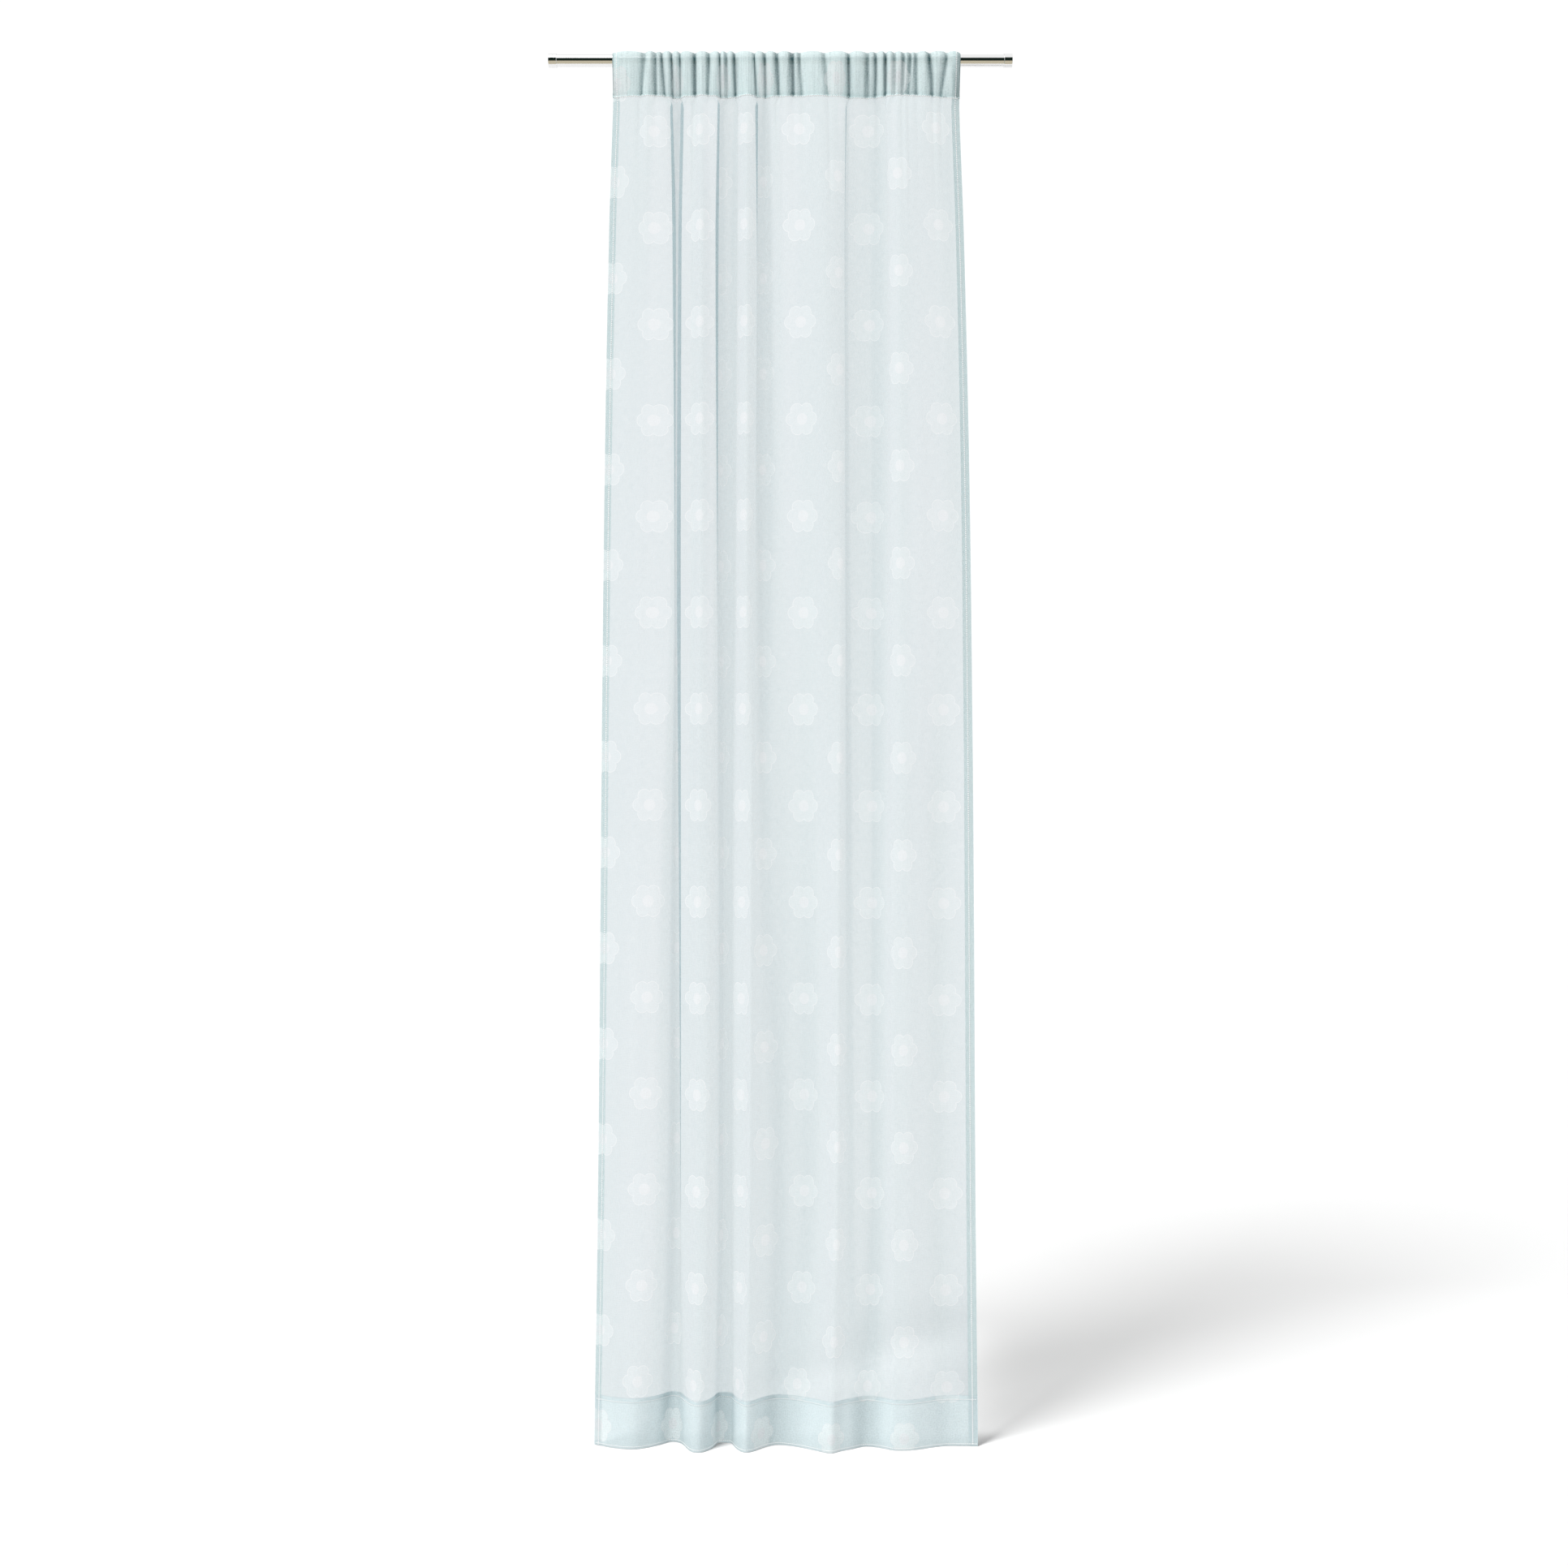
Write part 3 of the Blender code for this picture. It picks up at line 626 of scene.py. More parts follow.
def crowding_and_shade():
    """How closely the threads crowd, with painted light and shade in it: one over the step across for each
    step along the cloth, to a power that falls on a side that faces the light, which paints light there,
    times a share that grows in the hollows, which paints shade, falls on crests, which paints light, and
    grows in the pocket."""
    step = np.abs(np.gradient(base[:, :, 0], axis=0) / np.gradient(places_along)[:, None])
    lit = np.clip(-outward[:, :, 0], 0, 1)
    turned = (1 / np.clip(step, LEAST_STEP, 1.0)) ** (1 - LIT_SHARE * lit)
    hollow = 1 - np.where(proud > 0, CREST_PAINTED_LIGHT, HOLLOW_PAINTED_SHADE) * proud
    return turned * np.where(in_pocket, POCKET_CROWDING, hollow)


def shading():
    """How deep in shade each point lies: in the pocket that of the dips, which is less on top of the rod,
    and below it a share for the hollows and a share for the sides that turn away from the light."""
    over_front = np.clip(1 + 2 * places_down / OVER_ROD, 0, 1)
    in_dips = leaning(places_along, np.clip(places_down / SEAM_DROP, 0, 1), SHADES)
    in_dips *= SHADE_ON_TOP + (1 - SHADE_ON_TOP) * over_front
    below = HOLLOW_SHADE * np.clip(-proud, 0, 1) + TURNED_SHADE * np.clip(outward[:, :, 0], 0, 1)
    return np.where(in_pocket, in_dips, below)


behind = rows.layers[None, :] + rows.way[None, :] * columns.layers[:, None]
pick = np.ix_(pick_along, pick_down)
points = base[pick] - outward[pick] * (behind * LAYER)[:, :, None]
crowded_and_shaded = crowding_and_shade()[pick] * np.where(rows.at > hem_top, FOOT_CROWDING, 1)[None, :]
uv = np.stack(np.broadcast_arrays(
    ((columns.flat - columns.flat[0]) / np.ptp(columns.flat))[:, None],
    ((rows.flat[-1] - rows.flat) / np.ptp(rows.flat))[None, :],
), axis=2)
values = {"crowded_and_shaded": crowded_and_shaded, "dip": shading()[pick]}
panel = add_piece("voile_panel", grid_mesh("voile_panel", points, uv, values))
panel.data.set_sharp_from_angle(angle=SHARP_ANGLE)
print(len(panel.data.polygons) * 2, "triangles in the panel")

# %% [markdown]
# ## Stitching
#
# White thread holds every hem. A texture could draw it, but seen close it would lie flat. So each stitch is
# a small pointed bead that goes through all the layers and shows on both sides.

# %% Stitches
STITCH, STITCH_PITCH = 0.0034, 0.0037
THREAD_HALF = 0.0010
RING = 6
BEAD_PLACES, BEAD_SIZES = (0.0, 0.22, 0.78, 1.0), (0.0, 1.0, 1.0, 0.0)
SEAM_STEPS = 1200
END_CLEAR = 0.001
SIDE_STITCH = 0.0088
BELOW_POCKET, BELOW_HEM_TOP, ABOVE_HEM = 0.0004, 0.0068, 0.0036
Seam = namedtuple("Seam", "name path middle through")


def seam_line(name, along, down, middle, through_by):
    """A line of stitches: where it runs on the cloth, which layer is its middle (less than nought is in
    front of the face) and how many layers it reaches through to either side."""
    path = np.stack(np.broadcast_arrays(along, down, np.zeros(SEAM_STEPS))[:2], axis=1)
    return Seam(name, path, middle * LAYER, through_by * LAYER + THREAD_HALF / 2)


def read_between(grid, i, j):
    """A grid's values at places between its points: the average of the four around each, by nearness."""
    i0, j0 = np.minimum(i.astype(int), len(grid) - 2), np.minimum(j.astype(int), grid.shape[1] - 2)
    a, b = (i - i0)[:, None], (j - j0)[:, None]
    upper = (1 - a) * grid[i0, j0] + a * grid[i0 + 1, j0]
    lower = (1 - a) * grid[i0, j0 + 1] + a * grid[i0 + 1, j0 + 1]
    return (1 - b) * upper + b * lower


def on_cloth(path):
    """Points and normals of the cloth under a path of (along, down)."""
    i = np.interp(path[:, 0], places_along, np.arange(len(places_along)))
    j = np.interp(path[:, 1], places_down, np.arange(len(places_down)))
    normal = read_between(outward, i, j)
    return read_between(base, i, j), normal / np.linalg.norm(normal, axis=1, keepdims=True)


def on_line(at, length, values):
    """Three values at once, read at these distances along a line."""
    return np.stack([np.interp(at, length, values[:, k]) for k in range(3)], axis=2)


def stitch_points(seam):
    """Rings of points for every stitch of a seam: along the stitch the ring's size goes 0, 1, 1, 0, and
    each ring is an ellipse, thread wide and as deep as the layers that it passes."""
    points, normals = on_cloth(seam.path)
    length = np.concatenate([[0], np.cumsum(np.linalg.norm(np.diff(points, axis=0), axis=1))])
    starts = np.arange(STITCH_PITCH / 2, length[-1] - STITCH, STITCH_PITCH)
    at = starts[:, None] + STITCH * np.array(BEAD_PLACES)
    centre, normal = on_line(at, length, points - normals * seam.middle), on_line(at, length, normals)
    run = np.gradient(centre, axis=1)
    run /= np.linalg.norm(run, axis=2, keepdims=True)
    aside = np.cross(normal, run)
    turn = np.arange(RING) * 2 * np.pi / RING
    size = np.array(BEAD_SIZES)[None, :, None, None]
    ring = (aside[:, :, None] * THREAD_HALF * np.cos(turn)[:, None]
            + normal[:, :, None] * seam.through * np.sin(turn)[:, None])
    return centre[:, :, None] + size * ring


def stitch_mesh(name, seams):
    """All stitches as one mesh: two rings joined by quads, and a fan of triangles from each ring to a tip."""
    rings = np.concatenate([stitch_points(seam) for seam in seams])
    count = len(rings)
    verts = np.concatenate([rings[:, 0, :1], rings[:, 1], rings[:, 2], rings[:, 3, :1]], axis=1)
    step = np.arange(RING)
    after = (step + 1) % RING
    first, second, last = 1 + step, 1 + RING + step, np.full(RING, 1 + 2 * RING)
    tip = np.stack([0 * step, 1 + after, first], axis=1)
    end = np.stack([last, second, 1 + RING + after], axis=1)
    band = np.stack([first, 1 + after, 1 + RING + after, second], axis=1)
    shift = np.arange(count)[:, None, None] * verts.shape[1]
    faces = []
    for block in (tip, end, band):
        faces += (block[None] + shift).reshape(-1, block.shape[1]).tolist()
    mesh = bpy.data.meshes.new(name)
    mesh.from_pydata(verts.reshape(-1, 3).tolist(), [], faces)
    mesh.shade_smooth()
    return mesh, count


fine_down = np.linspace(back, HEM_DROP, SEAM_STEPS)
fine_along = np.linspace(END_CLEAR, CLOTH_WIDTH - END_CLEAR, SEAM_STEPS)
seams = (
    seam_line("left side hem", SIDE_STITCH, fine_down, 1, 1),
    seam_line("right side hem", CLOTH_WIDTH - SIDE_STITCH, fine_down, 1, 1),
    seam_line("pocket", fine_along, SEAM_DROP + BELOW_POCKET, -2, 3),
    seam_line("foot hem, top", fine_along, hem_top + BELOW_HEM_TOP, 4, 4),
    seam_line("foot hem, bottom", fine_along, HEM_DROP - ABOVE_HEM, 4, 4),
)
thread_mesh, stitch_count = stitch_mesh("hem_stitches", seams)
stitches = add_piece("hem_stitches", thread_mesh)
print(stitch_count, "stitches in", len(seams), "seams")

# %% [markdown]
# ## Shader maths
#
# A finish is a sum of masks. Wiring Math nodes by hand hides the sum, so a small class wraps a socket, and
# adding or multiplying it adds the node. Any other node comes from one method that is told its type,
# settings and inputs.

# %% Shader class
def operator(operation, reflected=False):
    """A method that adds the Math node of this operation, on the value and another, or on the other first."""

    def method(value, *others):
        inputs = [*others, value] if reflected else [value, *others]
        return made(value.tree, "Math", {"operation": operation}, dict(enumerate(inputs)))

    return method


class Value:
    """One number that changes over a surface: an output socket, and the operators that build Math nodes."""

    __add__ = __radd__ = operator("ADD")
    __mul__ = __rmul__ = operator("MULTIPLY")
    __sub__, __rsub__ = operator("SUBTRACT"), operator("SUBTRACT", True)
    __truediv__, __rtruediv__ = operator("DIVIDE"), operator("DIVIDE", True)
    __pow__, __rpow__ = operator("POWER"), operator("POWER", True)
    rounded, size, root = operator("ROUND"), operator("ABSOLUTE"), operator("SQRT")
    sine, cosine, angle_from = operator("SINE"), operator("COSINE"), operator("ARCTAN2")
    least, most = operator("MINIMUM"), operator("MAXIMUM")

    def __init__(self, tree, socket):
        self.tree, self.socket = tree, socket

    def rising(self, low, high):
        """0 below low, 1 above high and smooth between."""
        settings = {"interpolation_type": "SMOOTHSTEP", "clamp": True}
        inputs = {"Value": self, "From Min": low, "From Max": high}
        return made(self.tree, "MapRange", settings, inputs)

    def falling(self, low, high):
        """1 below low, 0 above high and smooth between."""
        return 1 - self.rising(low, high)


def fill_in(tree, node, inputs):
    """Links a value into each socket named, or sets a plain number or colour on it."""
    for name, value in inputs.items():
        if isinstance(value, Value):
            tree.links.new(value.socket, node.inputs[name])
        else:
            node.inputs[name].default_value = value


def made(tree, kind, settings=(), inputs=(), output=0):
    """A shader node of this kind: its settings are set first, then the values or links of its sockets."""
    node = tree.nodes.new("ShaderNode" + kind)
    for name, value in dict(settings).items():
        setattr(node, name, value)
    fill_in(tree, node, dict(inputs))
    return Value(tree, node.outputs[output])


def blended(tree, share, low, high):
    """The colour low where share is 0 and high where it is 1."""
    return made(tree, "Mix", {"data_type": "RGBA"}, {0: share, 6: low, 7: high}, 2)


def new_finish(name):
    """A new material, its node tree and its Principled BSDF."""
    finish = bpy.data.materials.new(name)
    finish.use_nodes = True
    return finish, finish.node_tree, finish.node_tree.nodes["Principled BSDF"]


def dress(piece, finish):
    """This finish in place of any other on a piece."""
    piece.data.materials.clear()
    piece.data.materials.append(finish)


print("a value has", sum(callable(entry) for entry in vars(Value).values()), "operators and methods")

# %% [markdown]
# ## The voile
#
# Voile is mostly air: fine threads cover less than half of the view. So the finish mixes clear gaps with a
# pale blue-white thread, and two layers look denser than one and three denser still. Crowding closes the
# gaps as more layers would, so the open share is raised to its power. Where the threads crowd, the thread
# takes a lighter, greener colour: painted light for the light passed between the layers. The sewn layers lie
# so close that light is lost between them, so the hems and the pocket get lighter thread colours of their
# own, which is painted light too. Shaded places take a dark colour by the stored shade, and small puckers in
# the pocket a streaky one: this is painted shade. Thin thread also glows with the light behind it, which a
# translucent shader gives, but less where layers are sewn together or a flower is woven. Threads of uneven
# thickness, called slubs, run both ways.
#
# The flower is worked out from its own middle: six petals are six circles on a ring. Folding the angle into
# one sixth of a turn leaves a single circle to measure, and the distance to it gives the fill and a woven
# outline.

# %% Motif and weave
COLUMN_SPACING, REPEAT, REPEAT_GROWS = 0.0822, 0.1661, 0.00018
FIRST_COLUMN, FIRST_ROW, ROW_RISES = 0.0910, 0.1253, 0.00091
PETAL_OUT, PETAL_RADIUS, FLOWER_CENTRE = 0.0180, 0.0117, 0.0100
PETALS, BODY_SHARE = 6, 0.75
OUTLINE, SOFT_EDGE = 0.0006, 0.0006
FACE_TOP, FACE_TOP_EDGE, FACE_EDGE = -0.022, 0.002, 0.001
Streaks = namedtuple("Streaks", "across down detail")
WARP, WEFT = Streaks(0.0014, 0.012, 2.0), Streaks(0.012, 0.0014, 2.0)
SPECKLE, CLOUDS = Streaks(0.0026, 0.0020, 3.0), Streaks(0.012, 0.012, 3.0)
PUCKERS = Streaks(0.0060, 0.070, 2.0)


def flat_place(tree):
    """The two flat distances of the cut cloth, in metres, from its UV map: along from the left edge, and
    down from the front of the rod's axis."""
    uv = made(tree, "UVMap", {"uv_map": "flat"})
    apart = tree.nodes.new("ShaderNodeSeparateXYZ")
    fill_in(tree, apart, {0: uv})
    along = Value(tree, apart.outputs[0]) * float(np.ptp(columns.flat)) + float(columns.flat[0])
    down = float(rows.flat[-1]) - Value(tree, apart.outputs[1]) * float(np.ptp(rows.flat))
    return along, down


def streaked(tree, along, down, streaks):
    """Noise from 0 to 1 whose spots have the streaks' size across and down, like uneven threads."""
    place = made(tree, "CombineXYZ", {}, {0: along / streaks.across, 1: down / streaks.down})
    inputs = {"Vector": place, "Scale": 1.0, "Detail": streaks.detail}
    return made(tree, "TexNoise", {"noise_dimensions": "2D"}, inputs)


def motif(tree, along, down):
    """Masks of the flower's fill, outline and centre. The nearest flower is found by rounding: every other
    column is half a repeat lower, and the rows climb a little to the right, as the cloth was cut a little
    off its grain. The petals' distance is that from a circle on the ring, after the angle is folded."""
    step = (along - FIRST_COLUMN) / COLUMN_SPACING
    nearest = step.rounded()
    x = (step - nearest) * COLUMN_SPACING
    odd = (nearest / 2 - (nearest / 2).rounded()).size() * 2
    repeat = nearest * REPEAT_GROWS + REPEAT
    fall = (down - FIRST_ROW + nearest * ROW_RISES) / repeat - odd / 2
    y = (fall - fall.rounded()) * repeat
    out = (x * x + y * y).root()
    angle = y.angle_from(x)
    sixth = 2 * np.pi / PETALS
    folded = angle - (angle / sixth).rounded() * sixth
    petal_x, petal_y = out * folded.cosine() - PETAL_OUT, out * folded.sine()
    petal = (petal_x * petal_x + petal_y * petal_y).root() - PETAL_RADIUS
    face = along.rising(-FACE_EDGE, 0.0) * along.falling(CLOTH_WIDTH, CLOTH_WIDTH + FACE_EDGE)
    face = face * down.rising(FACE_TOP, FACE_TOP + FACE_TOP_EDGE)
    face = face * down.falling(HEM_DROP - FACE_EDGE, HEM_DROP)
    inside = petal.least(out - BODY_SHARE * PETAL_OUT)
    fill = inside.falling(-SOFT_EDGE / 2, SOFT_EDGE / 2) * face
    outline = (inside + OUTLINE / 2).size().falling(OUTLINE / 4, OUTLINE / 2 + SOFT_EDGE) * face
    centre = (out - FLOWER_CENTRE).falling(-SOFT_EDGE, SOFT_EDGE) * face
    return fill, outline, centre


print("flowers every", COLUMN_SPACING, "m across and", REPEAT, "m down")

# %% Voile finish
THREAD_COLOUR = (0.475, 0.60, 0.65, 1.0)
# Painted light: crowded folds and hollows take this lighter, greener colour for light passed between the
# layers.
CROWDED_LIGHT_COLOUR, CROWDED_LIGHT_SHARE = (0.54, 0.70, 0.69, 1.0), 0.55
# Painted light: the side hems, the foot hem and the pocket take these lighter colours for light passed
# between their sewn layers.
SIDE_HEM_LIGHT_COLOUR = (0.64, 0.77, 0.78, 1.0)
FOOT_HEM_LIGHT_COLOUR = (0.79, 0.90, 0.92, 1.0)
POCKET_LIGHT_COLOUR = (0.86, 1.0, 1.0, 1.0)
# Painted shade blends toward this dark colour, and so does the mottle of the sewn layers.
DIP_COLOUR = (0.01, 0.09, 0.10, 1.0)
FLOWER_YARN = (1.0, 0.98, 0.99, 1.0)
CENTRE_YARN = (1.0, 0.92, 0.95, 1.0)
SEWN_YARN = (0.93, 1.0, 1.0, 1.0)
FLOWER_SHARE, CENTRE_SHARE, OUTLINE_SHARE, SEWN_FLOWER_SHARE = 0.16, 0.36, 0.64, 0.90
GLOW, SEWN_GLOW, FLOWER_GLOW = 0.50, 0.10, 0.28
COVER = 0.435
SLUB, MOTTLE, PUCKER_SHADE, FLOWER_HIDES = 0.06, 0.6, 0.6, 0.3
LEAST_OPEN = 0.02
BUMP_STRENGTH, BUMP_DEPTH, OUTLINE_RAISED = 0.25, 0.0004, 0.5
VOILE_ROUGH, VOILE_SHINE = 0.9, 0.15


def sheer(tree, skin, colour, through, glow_share, cover):
    """A thin cloth: threads that scatter light back and let a share of it glow through, mixed with clear
    gaps by how much of the view the threads cover."""
    fill_in(tree, skin, {"Base Color": colour})
    glow = made(tree, "BsdfTranslucent", {}, {"Color": through})
    thread = made(tree, "MixShader", {}, {0: glow_share, 1: Value(tree, skin.outputs[0]), 2: glow})
    gaps = made(tree, "BsdfTransparent")
    cloth = made(tree, "MixShader", {}, {0: cover, 1: gaps, 2: thread})
    fill_in(tree, tree.nodes["Material Output"], {"Surface": cloth})


def sewn_double(along, down):
    """Masks of where the cloth lies in two or more layers: its side hems, its foot hem and its pocket."""
    edge = SMALL_GAP
    sides = along.falling(left - edge, left + edge).most(along.rising(right - edge, right + edge))
    foot = down.rising(hem_top - edge, hem_top + edge)
    return sides, foot, down.falling(SEAM_DROP - edge, SEAM_DROP + edge)


voile, tree, skin = new_finish("sheer_voile")
along, down = flat_place(tree)
warp, weft, speckle, clouds, puckers = (
    streaked(tree, along, down, streaks) for streaks in (WARP, WEFT, SPECKLE, CLOUDS, PUCKERS)
)
slubs = warp + weft - 1
fill, outline, centre = motif(tree, along, down)
sides, foot, pocket = sewn_double(along, down)
sewn = sides.most(foot).most(pocket)
dips, crowded_and_shaded = (
    made(tree, "Attribute", {"attribute_name": label}, {}, 2) for label in ("dip", "crowded_and_shaded")
)
colour = THREAD_COLOUR
for share, over in (
    (crowded_and_shaded.rising(1.0, 1 / LEAST_STEP) * CROWDED_LIGHT_SHARE, CROWDED_LIGHT_COLOUR),
    (sides, SIDE_HEM_LIGHT_COLOUR),
    (foot, FOOT_HEM_LIGHT_COLOUR),
    (pocket, POCKET_LIGHT_COLOUR),
    (fill * FLOWER_SHARE, FLOWER_YARN),
    (fill * sewn * SEWN_FLOWER_SHARE, SEWN_YARN),
    (centre * CENTRE_SHARE, CENTRE_YARN),
    (outline * OUTLINE_SHARE, FLOWER_YARN),
):
    colour = blended(tree, share, colour, over)
# Painted shade of small puckers, streaked down the pocket, and a mottle in the sewn layers.
uneven = (puckers - 0.5) * pocket * PUCKER_SHADE + (0.5 - speckle) * sewn * MOTTLE
shade = dips * (1 - fill * FLOWER_HIDES) + uneven
colour = blended(tree, shade.most(0.0).least(1.0), colour, DIP_COLOUR)
open_share = 1 - COVER - slubs * (2 * SLUB) - (clouds - 0.5) * SLUB
glow_share = (sewn * (SEWN_GLOW - GLOW) + GLOW).least(fill * (FLOWER_GLOW - GLOW) + GLOW)
sheer(tree, skin, colour, THREAD_COLOUR, glow_share, 1 - open_share.most(LEAST_OPEN) ** crowded_and_shaded)
raised = {"Strength": BUMP_STRENGTH, "Distance": BUMP_DEPTH, "Height": slubs + outline * OUTLINE_RAISED}
fill_in(tree, skin, {
    "Normal": made(tree, "Bump", {}, raised),
    "Roughness": VOILE_ROUGH,
    "Specular IOR Level": VOILE_SHINE,
})
dress(panel, voile)
print("voile finish has", len(tree.nodes), "nodes")

# %% [markdown]
# ## Thread and metal
#
# The thread is plain white cotton with a faint twist. The rod and caps are bright steel: the gloss comes
# from the shader and the studio, and a faint brushing along the tube keeps it from looking like glass.

# %% Thread finish
TWISTS_PER_METRE, COTTON_ROUGH = 900.0, 0.8
COTTON_SHADE, COTTON_LIGHT = (0.90, 0.91, 0.91, 1.0), (0.98, 0.98, 0.98, 1.0)
cotton, tree, skin = new_finish("white_thread")
place = made(tree, "TexCoord", {}, {}, 3)
twist = made(tree, "TexNoise", {}, {"Vector": place, "Scale": TWISTS_PER_METRE, "Detail": 1.0})
yarn = blended(tree, twist, COTTON_SHADE, COTTON_LIGHT)
fill_in(tree, skin, {"Base Color": yarn, "Roughness": COTTON_ROUGH})
dress(stitches, cotton)
print("cotton on", stitches.name)

# %% Metal finish
BRUSH_LONG, BRUSH_FINE = 0.05, 0.0006
STEEL_SHADE, STEEL_LIGHT = (0.80, 0.80, 0.80, 1.0), (0.86, 0.86, 0.86, 1.0)
STEEL_ROUGH, BRUSH_ROUGH = 0.05, 0.05
METAL_NODES = ("rod_tube", "end_cap_left", "end_cap_right")
steel, tree, skin = new_finish("bright_steel")
place = made(tree, "TexCoord", {}, {}, 3)
along_rod = {"Vector": place, "Scale": (BRUSH_LONG, BRUSH_FINE, BRUSH_FINE)}
stretched = made(tree, "Mapping", {"vector_type": "TEXTURE"}, along_rod)
brushing = made(tree, "TexNoise", {}, {"Vector": stretched, "Scale": 1.0, "Detail": 2.0})
fill_in(tree, skin, {
    "Base Color": blended(tree, brushing, STEEL_SHADE, STEEL_LIGHT),
    "Roughness": brushing * BRUSH_ROUGH + STEEL_ROUGH,
    "Metallic": 1.0,
})
for name in METAL_NODES:
    dress(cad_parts[name], steel)
print("metal on", len(METAL_NODES), "CAD nodes")

# %% [markdown]
# ## Riding on the frame
#
# The row has no joints, so there is one body, "root". The thin cloth stands for the panel's solid, and the
# stitches go with it.

# %% Ride and replace
for piece in (panel, stitches):
    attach(piece, "root")
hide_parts("curtain_panel")
print("sheet declared, gathered on the rod, with", stitch_count, "stitches")

# %% [markdown]
# ## The studio
#
# A pale floor just touches the hem. The key light is a broad soft sun from the front and left, half way up
# the sky, so every fold is lit on its left. A second sun reaches only the floor and throws the shadow back
# to the right. As in the photograph, that shadow must not show through the sheer cloth. So soft low lights
# that reach only the floor brighten it there, and light from the floor is kept off the cloth. The world
# fills the shadows, and is white where the camera or a reflection looks at it. Bright metal shows only what
# it reflects: a dark card in front of the curtain and a warm one on the floor, which nothing else sees.

# %% Floor and cards
FLOOR_GAP = 0.001
FLOOR_HALF = 40.0
DARK_CARD_AWAY, DARK_CARD_LOW, DARK_CARD_HIGH = 2.2, -0.98, 1.80
WARM_CARD_NEAR, WARM_CARD_FAR = 1.17, 5.4
CARD_HALF = 6.0
BLACK, DARK, WARM = (0.0, 0.0, 0.0, 1.0), (0.012, 0.020, 0.016, 1.0), (0.62, 0.56, 0.42, 1.0)
FLOOR_PAINT = {"Base Color": (0.36, 0.36, 0.36, 1.0), "Roughness": 0.9, "Specular IOR Level": 0.1}
RAYS = ("camera", "diffuse", "glossy", "transmission", "volume_scatter", "shadow")


def rectangle(half, near, far):
    """Four corners of a rectangle from -half to half in x, and from one (y, z) to another."""
    return [(-half, *near), (half, *near), (half, *far), (-half, *far)]


def stage_piece(name, corners_at, inputs):
    """One flat face of the studio, with these inputs to its BSDF."""
    mesh = bpy.data.meshes.new(name)
    mesh.from_pydata(corners_at, [], [(0, 1, 2, 3)])
    piece = add_piece(name, mesh)
    finish, tree, skin = new_finish(name)
    fill_in(tree, skin, inputs)
    dress(piece, finish)
    return piece


def card(name, corners_at, colour):
    """A flat card that gives off one colour, and that only reflections see."""
    black = {"Base Color": BLACK, "Specular IOR Level": 0.0}
    piece = stage_piece(name, corners_at, black | {"Emission Color": colour, "Emission Strength": 1.0})
    for ray in RAYS:
        setattr(piece, "visible_" + ray, ray == "glossy")


floor_z = -HEM_DROP - FLOOR_GAP
floor_edges = (-FLOOR_HALF, floor_z), (FLOOR_HALF, floor_z)
floor = stage_piece("floor", rectangle(FLOOR_HALF, *floor_edges), FLOOR_PAINT)
floor.visible_diffuse = False

dark_edges = (-DARK_CARD_AWAY, DARK_CARD_LOW), (-DARK_CARD_AWAY, DARK_CARD_HIGH)
card("dark_card", rectangle(CARD_HALF, *dark_edges), DARK)
warm_z = floor_z + FLOOR_GAP / 2
warm_edges = (-WARM_CARD_FAR, warm_z), (-WARM_CARD_NEAR, warm_z)
card("warm_card", rectangle(CARD_HALF, *warm_edges), WARM)
print("a floor at", round(floor_z, 3), "m and two cards")

# %% Suns
SHADOW_RUN = (1.47, 1.74)
KEY_RISE = np.radians(45.0)
SOFT_STRENGTH, SOFT_SPREAD = 1.8, np.radians(50.0)
FLOOR_STRENGTH, FLOOR_SPREAD = 8.0, np.radians(20.0)
heading = np.array(SHADOW_RUN) / np.hypot(*SHADOW_RUN)


def sun(name, strength, spread):
    """A sun from the key's side, with this strength in watts per square metre and this apparent size."""
    lamp = bpy.data.lights.new(name, "SUN")
    lamp.energy, lamp.angle = strength, spread
    piece = add_piece(name, lamp)
    piece.rotation_euler = (np.pi / 2 - KEY_RISE, 0, np.arctan2(-heading[0], heading[1]))
    return piece


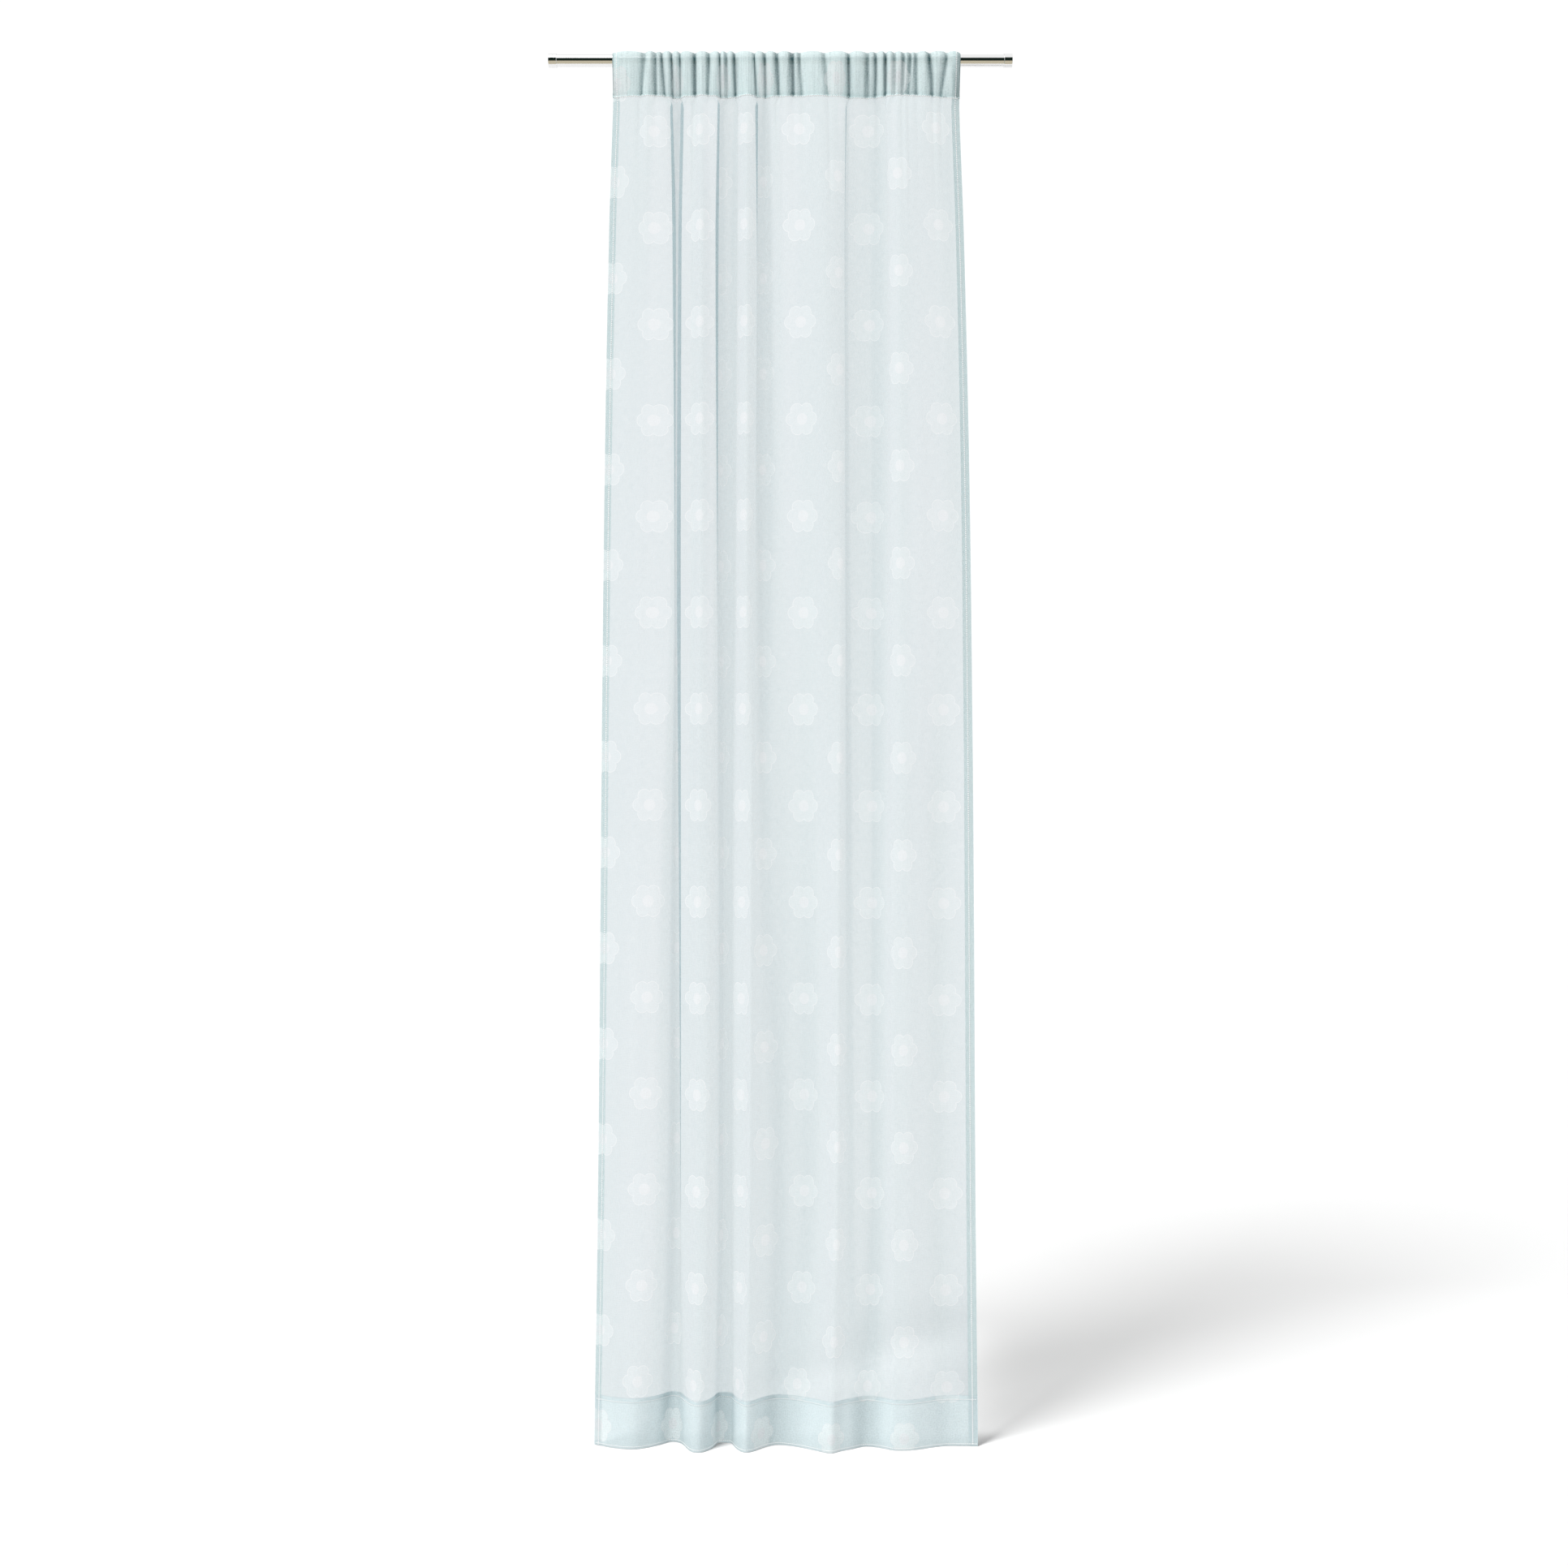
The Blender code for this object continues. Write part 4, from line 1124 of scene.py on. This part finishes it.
sun("soft_sun", SOFT_STRENGTH, SOFT_SPREAD)
floor_sun = sun("floor_sun", FLOOR_STRENGTH, FLOOR_SPREAD)
lit_floor = bpy.data.collections.new("lit_floor")
lit_floor.objects.link(floor)
floor_sun.light_linking.receiver_collection = lit_floor
print("suns from", np.round(-heading, 2).tolist(), "at", round(float(np.degrees(KEY_RISE))), "degrees")

# %% Low lights
LOW_ROWS, LOW_FRONT, LOW_UP, LOW_INSET = 9, 0.14, 0.12, 0.02
LOW_STRENGTH, LOW_SPREAD = 3.9, np.radians(125.0)
foot_left, foot_right = float(foot_across.min()), float(foot_across.max()) - LOW_INSET
shadow_slope, sight_slope = SHADOW_RUN[0] / SHADOW_RUN[1], foot_right / distance
reach_back = (foot_right - foot_left) / (shadow_slope - sight_slope)
row_edges = np.linspace(-LOW_FRONT, reach_back, LOW_ROWS + 1)
for near, far in zip(row_edges[:-1], row_edges[1:]):
    back_by = max((near + far) / 2, 0.0)
    low, high = foot_left + shadow_slope * back_by, foot_right + sight_slope * back_by
    lamp = bpy.data.lights.new("low_light", "AREA")
    lamp.shape, lamp.size, lamp.size_y = "RECTANGLE", high - low, far - near
    lamp.energy, lamp.spread = LOW_STRENGTH * (far - near) * (high - low), LOW_SPREAD
    piece = add_piece("low_light", lamp)
    piece.location = ((low + high) / 2, (near + far) / 2, floor_z + LOW_UP)
    piece.visible_camera = False
    piece.light_linking.receiver_collection = lit_floor
print(LOW_ROWS, "low lights, as far back as", round(reach_back, 2), "m")

# %% World and picture settings
FILL, SEEN = 0.71, 1.05
WHITE = (1.0, 1.0, 1.0, 1.0)
LAYERS_SEEN_THROUGH = 32
world = bpy.data.worlds.new("studio")
world.use_nodes = True
tree = world.node_tree
rays = tree.nodes.new("ShaderNodeLightPath")
looked_at = Value(tree, rays.outputs["Is Camera Ray"]).most(Value(tree, rays.outputs["Is Glossy Ray"]))
fill_in(tree, tree.nodes["Background"], {"Color": WHITE, "Strength": looked_at * (SEEN - FILL) + FILL})

scene = bpy.context.scene
scene.world = world
scene.view_settings.view_transform = "Standard"
scene.cycles.transparent_max_bounces = LAYERS_SEEN_THROUGH
print("the world fills with", FILL, "and is seen as", SEEN)
